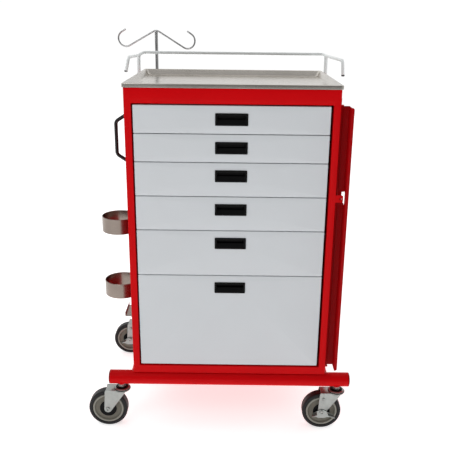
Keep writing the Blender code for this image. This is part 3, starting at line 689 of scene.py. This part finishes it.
# ---------------------------------------------------------------- push handle
def push_handle():
    """A bent rod on two small flanges, each with two screws."""
    low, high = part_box("push_handle")
    y = (low.y + high.y) / 2
    side = SHELL_LOW.x - GAP
    radius = 0.0058
    grip_x = low.x + radius
    start = side - 0.0034
    rise = 0.65 * (start - grip_x)
    grip_bottom, grip_top = low.z + 0.018 + rise, high.z - 0.018 - rise
    path = [(start, y, grip_bottom - rise), (grip_x, y, grip_bottom), (grip_x, y, grip_top),
            (start, y, grip_top + rise)]
    handle = Solid().tube(filleted(path, 0.016, 8), radius, 20)
    screws = Solid()
    for z in (path[0][2], path[-1][2]):
        outline = facing_side(round_rect(0.022, 0.036, 0.006, 4), side - 0.0040, y, z)
        handle.prism(outline, (0.0040, 0, 0), 0.0008, 2)
        handle.turned([(0.0085, 0.0), (0.0072, 0.0012), (0.0058, 0.0030), (0.0050, 0.0050)],
                      (side - 0.0036, y, z), "X", 20, flip=-1)
        for way in (-1, 1):
            screws.screw((side - 0.0040, y, z + way * 0.0128), "X", 0.0030, flip=-1)
    handle.finish("push_handle_rod", "black_coat", "cart", ("push_handle",))
    screws.finish("push_handle_screws", "zinc", "cart")


# ---------------------------------------------------------------- cylinder holder
def cylinder_holder():
    for label in ("upper", "lower"):
        cylinder_ring(label)
    cylinder_foot_rest()


def cylinder_ring(label):
    """A rolled band with rounded rims, riveted to a folded tab on the cabinet side."""
    node = f"{label}_cylinder_ring"
    low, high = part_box(node)
    radius = (high.y - low.y) / 2
    centre = Vector((low.x + radius, (low.y + high.y) / 2, low.z))
    height = high.z - low.z
    bead = 0.0009
    band = Solid()
    outer = [(radius - 0.0007, 0), (radius, bead), (radius, height - bead), (radius - 0.0007, height)]
    inner = [(radius - SHEET - 0.0003, height), (radius - SHEET - 0.0006, height - bead),
             (radius - SHEET, height - 2 * bead), (radius - SHEET, 2 * bead),
             (radius - SHEET - 0.0006, bead), (radius - SHEET - 0.0003, 0)]
    band.turned(outer + inner, centre, "Z", 96, ring=True)
    side = SHELL_LOW.x - GAP
    flat = side - 0.0008
    tab = filleted([(centre.x + radius - 0.0035, 0.018, 0), (flat, 0.018, 0), (flat, 0.032, 0)], 0.002, 4)
    for way in (-1, 1):
        outline = [(p.x, p.y) for p in folded(tab, SHEET)]
        band.prism([(x, centre.y + way * y, low.z + 0.004) for x, y in outline], (0, 0, height - 0.008),
                   0.0003, 1)
    band.finish(f"{node}_band", "band", "cart", (node,))
    rivets = Solid()
    for way in (-1, 1):
        for z in (low.z + 0.013, high.z - 0.013):
            rivets.screw((side - 0.0015, centre.y + way * 0.0255, z), "X", 0.0030, flip=-1)
    rivets.turned([(0.0045, -0.0004), (0.0043, 0.0008), (0.0032, 0.0018), (0.0012, 0.0023)],
                  (centre.x + radius - SHEET, centre.y, (low.z + high.z) / 2 + 0.008), "X", 20, flip=-1)
    rivets.finish(f"{node}_rivets", "zinc", "cart")


def cylinder_foot_rest():
    """A pressed shelf with upturned edges and two screws into the cabinet side."""
    low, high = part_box("cylinder_foot_rest")
    middle_z = low.z + SHEET / 2
    path = filleted([(high.x - SHEET / 2, high.z, 0), (high.x - SHEET / 2, middle_z, 0),
                     (low.x + SHEET / 2, middle_z, 0), (low.x + SHEET / 2, high.z, 0)], 0.0022, 4)
    outline = [(p.x, low.y, p.y) for p in folded(path, SHEET)]
    Solid().prism(outline, (0, high.y - low.y, 0), 0.0004, 1).finish(
        "cylinder_foot_rest_sheet", "band", "cart", ("cylinder_foot_rest",))
    screws = Solid()
    for y in (low.y + 0.018, high.y - 0.018):
        screws.screw((high.x - SHEET, y, high.z - 0.0065), "X", 0.0032, flip=-1)
    screws.finish("cylinder_foot_rest_screws", "zinc", "cart")


# ---------------------------------------------------------------- infusion pole
HOOK_ROD = 0.0031
HOOK_RADIUS = 0.0265


def infusion_pole():
    """The rod with its two hooks, the guide tube behind the cabinet, and the clamp."""
    tube_low, tube_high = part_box("pole_guide_tube")
    x, y, _ = middle("pole_collar")
    radius = 0.0057
    top = tube_high.z + 0.191
    pole = Solid().tube([(x, y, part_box("infusion_pole")[0].z), (x, y, top - 0.003)], radius, 24, domed=0.0035)
    pole.tube(hook_path(x, y, top), HOOK_ROD, 16, domed=0.0018)
    pole.turned([(0.0040, -0.0050), (0.0064, -0.0036), (0.0067, -0.0010), (0.0050, 0.0010), (0.0012, 0.0018)],
                (x, y, top - 0.0030), "Z", 24)
    pole.finish("infusion_pole_rod", "chrome", "infusion_pole", ("infusion_pole",))

    guide = Solid()
    outer, inner = 0.0085, radius + 0.0005
    length = tube_high.z - tube_low.z
    guide.turned([(outer - 0.0005, 0), (outer, 0.0005), (outer, length - 0.0005), (outer - 0.0005, length),
                  (inner, length), (inner, 0)], (x, y, tube_low.z), "Z", 32, ring=True)
    screws = Solid()
    for z in (tube_low.z + 0.065, tube_high.z - 0.030):
        clamp_bracket(guide, x, y, z)
        for side in (-1, 1):
            screws.screw((x + side * 0.0115, BACK_Y + 0.0032, z), "Y", 0.0034)
    guide.finish("pole_guide_tube_steel", "zinc", "cart", ("pole_guide_tube",))
    screws.finish("pole_guide_tube_screws", "zinc", "cart")
    pole_collar(x, y)
    pole_knob()


def hook_path(x, y, top):
    """The hook bar's centre line, from tip to tip: two sloping arms that each end in a round hook."""
    turn, droop, end = radians(-8), 0.020, radians(58)
    reach = 0.1395
    centre = Vector((reach - HOOK_RADIUS - HOOK_ROD, top - 0.0625 + HOOK_RADIUS + HOOK_ROD))
    away = Vector((centre.x, centre.y - top))
    slope = atan2(away.y, away.x) - asin(HOOK_RADIUS / away.length)
    arm = [Vector(p) for p in arc(centre, HOOK_RADIUS, slope - pi / 2, end, 20)]
    last = arm[-1] + 0.018 * Vector((-sin(end), cos(end)))
    arm.append(last)
    bend = filleted([(-arm[0].x, 0, arm[0].y), (0, 0, top), (arm[0].x, 0, arm[0].y)], 0.020, 8)
    flat = [(-p.x, p.y) for p in arm[:0:-1]] + [(p.x, p.z) for p in bend] + [tuple(p) for p in arm[1:]]
    return [(x + u * cos(turn), y + u * sin(turn), z - droop * u) for u, z in flat]


def clamp_bracket(guide, x, y, z):
    """A strap with two ears on the back panel and a half-round saddle over the tube."""
    ear, saddle = BACK_Y + 0.0020, 0.0105
    path = [(x - 0.0160, ear), (x - saddle - 0.0005, ear)]
    path += [(px, py) for px, py in arc((x, y), saddle, radians(205), radians(-25), 14)]
    path += [(x + saddle + 0.0005, ear), (x + 0.0160, ear)]
    outline = folded([(u, v, 0) for u, v in path], 0.0016)
    guide.prism([(p.x, p.y, z - 0.015) for p in outline], (0, 0, 0.030), 0.0004, 1)


def pole_collar(x, y):
    low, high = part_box("pole_collar")
    outer, inner, height = 0.013, 0.0062, high.z - low.z
    profile = [(outer - 0.0012, 0), (outer - 0.0003, 0.0004), (outer, 0.0012), (outer, height * 0.30),
               (outer - 0.0008, height * 0.34), (outer - 0.0008, height * 0.66), (outer, height * 0.70),
               (outer, height - 0.0018), (outer - 0.0006, height - 0.0006), (outer - 0.0020, height),
               (inner, height), (inner, 0)]
    Solid().turned(profile, (x, y, low.z), "Z", 40, ring=True).finish(
        "pole_collar_moulding", "black", "cart", ("pole_collar",))


def pole_knob():
    """A five-lobed hand knob on its screw."""
    low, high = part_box("pole_knob")
    centre = (low + high) / 2
    radius = (high.z - low.z) / 2
    lobes, sides = 5, 60
    knob = Solid()

    def row(x, scale):
        points = []
        for i in range(sides):
            a = 2 * pi * i / sides
            r = radius * scale * (0.90 + 0.10 * cos(lobes * a))
            points.append((x, centre.y + r * cos(a), centre.z + r * sin(a)))
        return points

    grip = high.x - 0.0084
    rows = [(grip, 0.50), (grip - 0.0002, 0.80), (grip - 0.0012, 0.95), (grip - 0.0030, 1.0),
            (low.x + 0.0035, 1.0), (low.x + 0.0014, 0.95), (low.x + 0.0003, 0.84), (low.x, 0.70),
            (low.x + 0.0006, 0.45), (low.x + 0.0006, 0.10)]
    knob.loft([row(x, scale) for x, scale in rows])
    knob.turned([(0.0030, 0), (0.0030, high.x - grip + 0.001)], (grip - 0.001, centre.y, centre.z), "X", 20)
    knob.finish("pole_knob_moulding", "black", "pole_knob", ("pole_knob",))


# ---------------------------------------------------------------- drawer lock
def lock_bar():
    """The folded bar: a curl round the pin, a web, a leg to the front and an outward lip."""
    low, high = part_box("lock_bar")
    hinge = Vector((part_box("upper_lock_hinge")[0].x + 0.0042, middle("upper_lock_hinge").y))
    web, leg, lip, curl_radius = 0.0215, 0.0375, 0.0078, 0.0029
    curl = [(curl_radius * cos(a), curl_radius * sin(a)) for a in (radians(360 - 20 * i) for i in range(13))]
    folds = filleted([(0, curl_radius, 0), (web, curl_radius, 0), (web, -leg, 0), (web + lip, -leg, 0)],
                     0.0016, 4)
    outline = folded([(u, v, 0) for u, v in curl] + [tuple(p) for p in folds], SHEET)
    bar = Solid()
    place = [(hinge.x + p.x, hinge.y + p.y, low.z) for p in outline]
    bar.prism(place, (0, 0, high.z - low.z), 0.0003, 1)
    # The bar takes the darker copy of the cabinet's red: painted shade, not a different paint.
    piece = bar.finish("lock_bar_sheet", "red_painted_shade", "lock_bar", ("lock_bar",))
    slot_cutter(piece, hinge, web)
    for z, up in ((high.z, 1), (low.z, -1)):
        corner_cutter(piece, hinge, web + lip, leg, z, up)


def slot_cutter(piece, hinge, web):
    """The upright slot through the web, with round ends, that lets the cabinet's tongue through."""
    z, half = TONGUE_Z, 0.021
    left, right = web - 0.0065, web + 0.0020
    shape = round_rect(0.0200, 2 * half, 0.0085, 8)
    slot = Solid()
    slot.prism([(hinge.x + left, hinge.y - 0.0055 + u, z + v) for u, v in shape], (right - left, 0, 0))
    cut(piece, slot)


def corner_cutter(piece, hinge, reach, leg, z, up):
    """Rounds the lip's outer corner at one end of the bar."""
    radius = 0.0066
    outer = hinge.x + reach
    corner = (outer - radius, z - up * radius)
    points = [(outer + 0.001, z + up * 0.001), (corner[0], z + up * 0.001)]
    points += arc(corner, radius, up * pi / 2, 0, 8)
    tool = Solid()
    tool.prism([(u, hinge.y - leg - 0.003, v) for u, v in points], (0, 0.006, 0))
    cut(piece, tool)


def lock_hinges():
    """The brackets with the pins that the bar turns on."""
    for label in ("upper", "lower"):
        refined(f"{label}_lock_hinge", "red", "cart", 0.0005)


# ---------------------------------------------------------------- base
TUBE_RADIUS = 0.02225


def base_frame():
    """Round tubes: two across, two along the sides, with weld beads at every joint."""
    low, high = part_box("base_frame")
    z = high.z - TUBE_RADIUS
    front, rear = low.y + TUBE_RADIUS, high.y - TUBE_RADIUS
    side_x = 0.296
    base = Solid()
    for y in (front, rear):
        base.tube([(low.x, y, z), (high.x, y, z)], TUBE_RADIUS, 48)
    for side in (-1, 1):
        x = CENTRE_X + side * side_x
        base.tube([(x, front, z), (x, rear, z)], TUBE_RADIUS - 0.0001, 48)
    for label in CASTERS:
        stem = middle(f"{label}_stem")
        base.turned([(0.0098, 0), (0.0105, 0.0008), (0.0105, 0.010), (0.0150, 0.016)],
                    (stem.x, stem.y, 0.1465), "Z", 32)
    base.finish("base_frame_tubes", "red", "cart", ("base_frame",))
    welds = Solid()
    for y, way in ((front, 1), (rear, -1)):
        for side in (-1, 1):
            tube_weld(welds, CENTRE_X + side * side_x, y, z, way)
            cabinet_weld(welds, CENTRE_X + side * (SHELL_HIGH.x - CENTRE_X - 0.030), y, z)
    welds.finish("base_frame_welds", "red", "cart", crease=60)


def tube_weld(welds, x, y, z, way):
    """The bead round a side tube where it meets a cross tube of the same size."""
    steps = 48
    path = []
    for i in range(steps):
        a = 2 * pi * i / steps
        ripple = 0.0003 * sin(9 * a)
        r = TUBE_RADIUS + 0.0002 + ripple
        path.append((x + r * cos(a), y + way * (r * abs(cos(a)) + 0.0006), z + r * sin(a)))
    welds.tube(path, 0.0021, 8, closed=True)


def cabinet_weld(welds, x, y, z):
    """A short stitch weld between a cross tube and the cabinet floor."""
    half, beads = 0.016, 9
    lift = SHELL_LOW.z - z - 0.0012
    path = [(x - half + 2 * half * i / beads, y, z + lift + 0.0004 * (i % 2)) for i in range(beads + 1)]
    welds.tube(path, 0.0030, 10, domed=0.002)


def tube_caps():
    """Thin domed plastic plugs in the cross tubes' ends."""
    for label in CASTERS:
        node = f"{label}_tube_cap"
        low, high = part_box(node)
        side = 1 if high.x > CENTRE_X else -1
        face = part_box("base_frame")[1 if side > 0 else 0].x
        centre = (face, (low.y + high.y) / 2, (low.z + high.z) / 2)
        profile = [(TUBE_RADIUS - 0.0026, -0.010), (TUBE_RADIUS - 0.0024, 0.0001),
                   (TUBE_RADIUS - 0.0001, 0.0001),
                   (TUBE_RADIUS, 0.0010), (TUBE_RADIUS - 0.0008, 0.0022), (TUBE_RADIUS - 0.0040, 0.0034),
                   (TUBE_RADIUS * 0.5, 0.0046), (TUBE_RADIUS * 0.1, 0.0050)]
        Solid().turned(profile, centre, "X", 40, flip=side).finish(f"{node}_dome", "black", "cart", (node,))


# ---------------------------------------------------------------- casters
def casters():
    for label in CASTERS:
        tyre_and_wheel(label)
        stem(label)
        fork(label)
        if label in BRAKED:
            brake_pedal(label)


def tyre_and_wheel(label):
    """A rubber tread on a moulded centre, with a dark hub disc on each face and a lip ring painted lighter as a
    highlight.
    """
    body = f"{label}_wheel"
    low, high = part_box(f"{label}_tyre")
    centre = (low + high) / 2
    outer = (high.z - low.z) / 2
    half = (high.y - low.y) / 2
    seat = 0.0503
    shoulder = 0.0045
    side = [(seat, half - 0.0040), (seat + 0.0006, half - 0.0016), (seat + 0.0022, half - 0.0004),
            (outer - 0.0075, half)]
    side += [(outer - shoulder * 1.2 + shoulder * 1.2 * sin(a), half - shoulder * (1 - cos(a)) * 1.15)
             for a in quarter(6)[1:]]
    side += [(outer, half * 0.35)]
    profile = side + [(r, -h) for r, h in side[::-1]]
    Solid().turned(profile, centre, "Y", 96, ring=True).finish(f"{label}_tyre_rubber", "tyre", body,
                                                               (f"{label}_tyre",), 40)
    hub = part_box(f"{label}_wheel")[1].y - centre.y
    rim = seat - 0.0003
    face = [(0.0046, hub - 0.0030), (0.0262, hub - 0.0030), (0.0292, hub - 0.0062), (0.0330, hub - 0.0074),
            (0.0410, hub - 0.0076), (0.0426, hub - 0.0060), (0.0436, hub - 0.0034), (0.0444, hub - 0.0028),
            (rim - 0.0006, hub - 0.0028), (rim, hub - 0.0034)]
    Solid().turned(face + [(r, -h) for r, h in face[::-1]], centre, "Y", 96, ring=True).finish(
        f"{label}_wheel_centre", "wheel", body, (f"{label}_wheel",), 30)
    discs, rings = Solid(), Solid()
    lip = [(0.0442, hub - 0.0030), (0.0446, hub - 0.0024), (0.0456, hub - 0.0021), (0.0480, hub - 0.0021),
           (0.0488, hub - 0.0024), (0.0491, hub - 0.0030)]
    disc = [(0.0050, hub - 0.0029), (0.0268, hub - 0.0029), (0.0274, hub - 0.0020), (0.0268, hub - 0.0008),
            (0.0235, hub - 0.0002), (0.0228, hub - 0.0008), (0.0120, hub - 0.0008), (0.0112, hub),
            (0.0050, hub)]
    for way in (-1, 1):
        rings.turned(lip, centre, "Y", 96, ring=True, flip=way)
        discs.turned(disc, centre, "Y", 48, ring=True, flip=way)
    discs.finish(f"{label}_hub_discs", "black", body)
    # The lip rings are the centre's plastic painted lighter: a painted highlight on the raised lip.
    rings.finish(f"{label}_rim_lips_painted_highlight", "rim", body)


def stem(label):
    """The swivel's fixed half: a bright race, a black dust ring, a black ring over the race's top as painted
    shadow, and a stem with a hexagon collar.
    """
    node = f"{label}_stem"
    low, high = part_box(node)
    centre = ((low.x + high.x) / 2, (low.y + high.y) / 2, low.z)
    wide = (high.x - low.x) / 2
    top = high.z - low.z
    race = Solid()
    race.turned([(wide - 0.0030, 0.0004), (wide - 0.0010, 0.0004), (wide, 0.0014), (wide - 0.0002, 0.0022),
                 (wide - 0.0030, 0.0034), (wide - 0.0085, 0.0054), (0.0120, 0.0068), (0.0092, 0.0076),
                 (0.0084, 0.0090), (0.0084, top - 0.0006), (0.0078, top)], centre, "Z", 48)
    race.hexagon((centre[0], centre[1], low.z + 0.0072), "Z", 0.0116, 0.0036)
    race.finish(f"{node}_race", "zinc", "cart", (node,))
    seal_and_shadow_rings = Solid().turned([(wide - 0.0050, -0.0002), (wide + 0.0010, -0.0002), (wide + 0.0014, 0.0006),
                            (wide + 0.0008, 0.0012), (wide - 0.0050, 0.0010)], centre, "Z", 48, ring=True)
    # The second black ring lies over the race's top between the stem and the race's rim: a painted shadow for
    # the shade under the tube.
    seal_and_shadow_rings.turned([(0.0118, 0.0066), (wide - 0.0090, 0.0055), (wide - 0.0052, 0.0044), (wide - 0.0048, 0.0048),
                  (wide - 0.0088, 0.0063), (0.0118, 0.0075)], centre, "Z", 48, ring=True)
    seal_and_shadow_rings.finish(f"{label}_dust_seal_and_painted_shadow", "black", "cart")


def leg_shape(wheel, top, left, right, end=0.0120):
    """The fork leg's outline about the axle: a taper from the top edge to a round end."""
    centre = Vector((wheel.x, wheel.z))
    shoulder = 0.006

    def tangent(corner, turn):
        way = Vector(corner) - centre
        return atan2(way.y, way.x) + turn * acos(end / way.length)

    a = tangent((right, top - shoulder), -1)
    b = tangent((left, top - shoulder), 1) - 2 * pi
    top_edge = [(left + 0.002, top), (right - 0.003, top), (right, top - shoulder)]
    return top_edge + arc(centre, end, a, b, 20) + [(left, top - shoulder)]


def fork(label):
    """A pressed fork: bowl crown, a bridge that folds down into two legs, and the axle bolt."""
    node = f"{label}_fork"
    wheel = middle(f"{label}_tyre")
    pivot = middle(f"{label}_stem")
    inner, sheet = 0.0185, 0.0025
    outer = inner + sheet
    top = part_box(node)[1].z
    steel = Solid()
    crown = 0.0275
    profile = [(0.0180, top - 0.0072), (0.0225, top - 0.0068), (0.0252, top - 0.0052),
               (crown - 0.0005, top - 0.0026),
               (crown, top - 0.0010), (crown - 0.0006, top - 0.0001), (crown - 0.0016, top),
               (crown - 0.0026, top - 0.0008)]
    steel.turned(profile, (pivot.x, pivot.y, 0), "Z", 48)
    left, right = wheel.x - 0.0082, pivot.x + 0.0125
    bridge = [(left + 0.0030, -outer + 0.0018), (pivot.x + 0.004, -outer + 0.0018),
              (pivot.x + 0.004, outer - 0.0018), (left + 0.0030, outer - 0.0018)]
    steel.prism([(x, wheel.y + y, top - 0.0032) for x, y in bridge], (0, 0, 0.0028), 0.0008, 2)
    outline = leg_shape(wheel, top - 0.0006, left, right)
    rivet = [(0.0056, -0.0003), (0.0056, 0.0006), (0.0048, 0.0009), (0.0044, 0.0019), (0.0030, 0.0029),
             (0.0010, 0.0033)]
    for side in (-1, 1):
        face = [(x, wheel.y + side * inner, z) for x, z in outline]
        steel.prism(face, (0, side * sheet, 0), 0.0010, 3)
        fold_roll(steel, left + 0.0035, pivot.x + 0.006, wheel.y + side * (outer - 0.0016), top - 0.0018)
        if label in BRAKED:
            steel.turned(rivet, (wheel.x + 0.0040, wheel.y + side * outer, top - 0.0215), "Y", 24, flip=side)
    steel.finish(f"{node}_pressing", "zinc", node, (node,), 35)
    axle(label, wheel, outer, node)


def fold_roll(steel, start, end, y, z):
    """The rounded fold along the top of a leg."""
    steel.tube([(start, y, z), (end, y, z)], 0.0017, 14, domed=0.0012)


def axle(label, wheel, outer, body):
    """A flanged axle head with a hollow end in front, a hexagon nut behind, and a rivet on the leg."""
    ends = Solid()
    lift = 0.0062 if label in BRAKED else 0.0030
    if label in BRAKED:
        ends.turned([(0.0040, outer - 0.001), (0.0040, outer + lift - 0.0020)], wheel, "Y", 24, flip=-1)
    head = [(0.0066, lift - 0.0030), (0.0070, lift - 0.0026), (0.0070, lift - 0.0010),
            (0.0062, lift - 0.0002),
            (0.0046, lift), (0.0036, lift - 0.0002), (0.0033, lift - 0.0010), (0.0030, lift - 0.0026)]
    ends.turned([(r, outer + h) for r, h in head], wheel, "Y", 32, flip=-1)
    ends.turned([(0.0086, outer - 0.0001), (0.0088, outer + 0.0009), (0.0040, outer + 0.0010)], wheel, "Y",
                32)
    nut = Vector((wheel.x, wheel.y + outer + 0.0008, wheel.z))
    ends.hexagon(nut, "Y", 0.0070, 0.0032)
    ends.turned([(0.0036, 0.0030), (0.0036, 0.0040), (0.0028, 0.0044)], nut, "Y", 20)
    ends.finish(f"{label}_axle_ends", "zinc", body)


def brake_pedal(label):
    """A rocking plate on the axle with a bright foot pad on the left and a folded wing on the right."""
    node = f"{label}_brake_pedal"
    low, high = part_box(node)
    wheel = middle(f"{label}_tyre")
    plate = 0.0020
    outline = [(-0.030, -0.006), (-0.012, 0.006), (-0.004, 0.0095), (0.005, 0.0095), (0.012, 0.006),
               (0.040, -0.010), (0.038, -0.016), (0.016, -0.018), (0.006, -0.021), (-0.010, -0.021),
               (-0.017, -0.017), (-0.030, -0.012)]
    round_outline = filleted([(*p, 0) for p in outline[-1:] + outline + outline[:1]], 0.0022, 3)[1:-1]
    front = high.y - plate
    steel = Solid()
    steel.prism([(wheel.x + p.x, front, wheel.z + p.y) for p in round_outline], (0, plate, 0), 0.0005, 2)
    for points in ([(-0.0325, -0.0070), (-0.0160, 0.0007)], [(0.0198, -0.0015), (0.0418, -0.0105)]):
        steel.prism(pad_outline(points, wheel, low.y, front), pad_push(points), 0.0006, 2)
        ribs(steel, points, wheel, low.y, front)
    steel.finish(f"{node}_steel", "zinc", node, (node,), 35)


def pad_outline(points, wheel, near, far):
    """A foot pad seen from above: its front corners are round."""
    (x0, z0), (x1, z1) = points
    radius = 0.005
    deep = far + 0.0012 - near
    wide = Vector((x1 - x0, z1 - z0)).length
    flat = [(0, deep), (wide, deep)] + arc((wide - radius, radius), radius, 0, -pi / 2, 5)
    flat += arc((radius, radius), radius, -pi / 2, -pi, 5)
    way = Vector((x1 - x0, z1 - z0)) / wide
    return [(wheel.x + x0 + way.x * u, near + v, wheel.z + z0 + way.y * u) for u, v in flat]


def pad_push(points):
    (x0, z0), (x1, z1) = points
    normal = Vector((-(z1 - z0), 0, x1 - x0)).normalized()
    return -normal * 0.0020


def ribs(steel, points, wheel, near, far):
    """Three raised grip ribs across a foot pad."""
    (x0, z0), (x1, z1) = points
    for i in (0.28, 0.5, 0.72):
        x, z = wheel.x + x0 + (x1 - x0) * i, wheel.z + z0 + (z1 - z0) * i
        steel.tube([(x, near + 0.0030, z + 0.0001), (x, far - 0.0020, z + 0.0001)], 0.0006, 8, domed=0.0004)


# ---------------------------------------------------------------- stage
def floor_paint(colour):
    """White paint that glows a little, so that the floor runs into the sky."""
    look = Nodes("floor_paint", colour, 0.7, gloss=0.0)
    look.shader.inputs["Emission Color"].default_value = (1, 1, 1, 1)
    look.shader.inputs["Emission Strength"].default_value = 0.62
    clouds = look.noise(3.0, 3.0)
    look.fade(clouds, colour, 0.995, 1.005)
    return look.material


def floor():
    size = 7.0
    bm = bmesh.new()
    bmesh.ops.create_grid(bm, x_segments=8, y_segments=8, size=size)
    ground = placed("floor", as_mesh("floor", bm))
    ground.data.materials.append(floor_paint((0.93, 0.93, 0.93)))
    ground.location = (CENTRE_X, FRONT_Y, -0.0005)


def area_light(name, place, target, size, power):
    data = bpy.data.lights.new(name, "AREA")
    data.shape = "RECTANGLE"
    data.size, data.size_y = size
    data.energy = power
    light = placed(name, data)
    light.location = place
    light.rotation_euler = (Vector(target) - Vector(place)).to_track_quat("-Z", "Y").to_euler()
    return light


def lights():
    aim = (CENTRE_X, FRONT_Y + 0.2, 0.65)
    area_light("key_softbox", (CENTRE_X - 1.6, FRONT_Y - 1.9, 2.6), aim, (1.6, 1.6), 19)
    area_light("fill_softbox", (CENTRE_X + 2.0, FRONT_Y - 1.6, 1.6), aim, (1.4, 2.0), 3.5)
    area_light("top_softbox", (CENTRE_X, FRONT_Y + 0.6, 3.2), aim, (2.4, 2.0), 3.5)


def sky():
    """A white studio: bright behind and above the cart, dimmer on the camera's side."""
    world = bpy.data.worlds.new("studio")
    bpy.context.scene.world = world
    world.use_nodes = True
    tree = world.node_tree
    background = tree.nodes["Background"]
    places = tree.nodes.new("ShaderNodeTexCoord")
    split = tree.nodes.new("ShaderNodeSeparateXYZ")
    blend = tree.nodes.new("ShaderNodeMapRange")
    blend.interpolation_type = "SMOOTHSTEP"
    for socket, number in zip(("From Min", "From Max", "To Min", "To Max"), (-0.60, 0.30, 0.20, 1.03)):
        blend.inputs[socket].default_value = number
    tree.links.new(places.outputs["Generated"], split.inputs[0])
    tree.links.new(split.outputs["Y"], blend.inputs["Value"])
    tree.links.new(blend.outputs["Result"], background.inputs["Strength"])
    background.inputs["Color"].default_value = (1, 1, 1, 1)


def camera():
    data = bpy.data.cameras.new("camera")
    data.lens = LENS
    data.sensor_width = 36.0
    eye = placed("camera", data)
    look = Matrix.Rotation(-YAW, 4, "Z") @ Matrix.Rotation(pi / 2 - PITCH, 4, "X")
    eye.matrix_world = Matrix.Translation(EYE) @ look @ Matrix.Rotation(ROLL, 4, "Z")
    bpy.context.scene.camera = eye


# ---------------------------------------------------------------- build
camera()
floor()
lights()
sky()
bpy.context.scene.view_settings.view_transform = "Standard"

cabinet()
drawers()
tray_top()
guard_rail()
push_handle()
cylinder_holder()
infusion_pole()
lock_bar()
lock_hinges()
base_frame()
tube_caps()
casters()
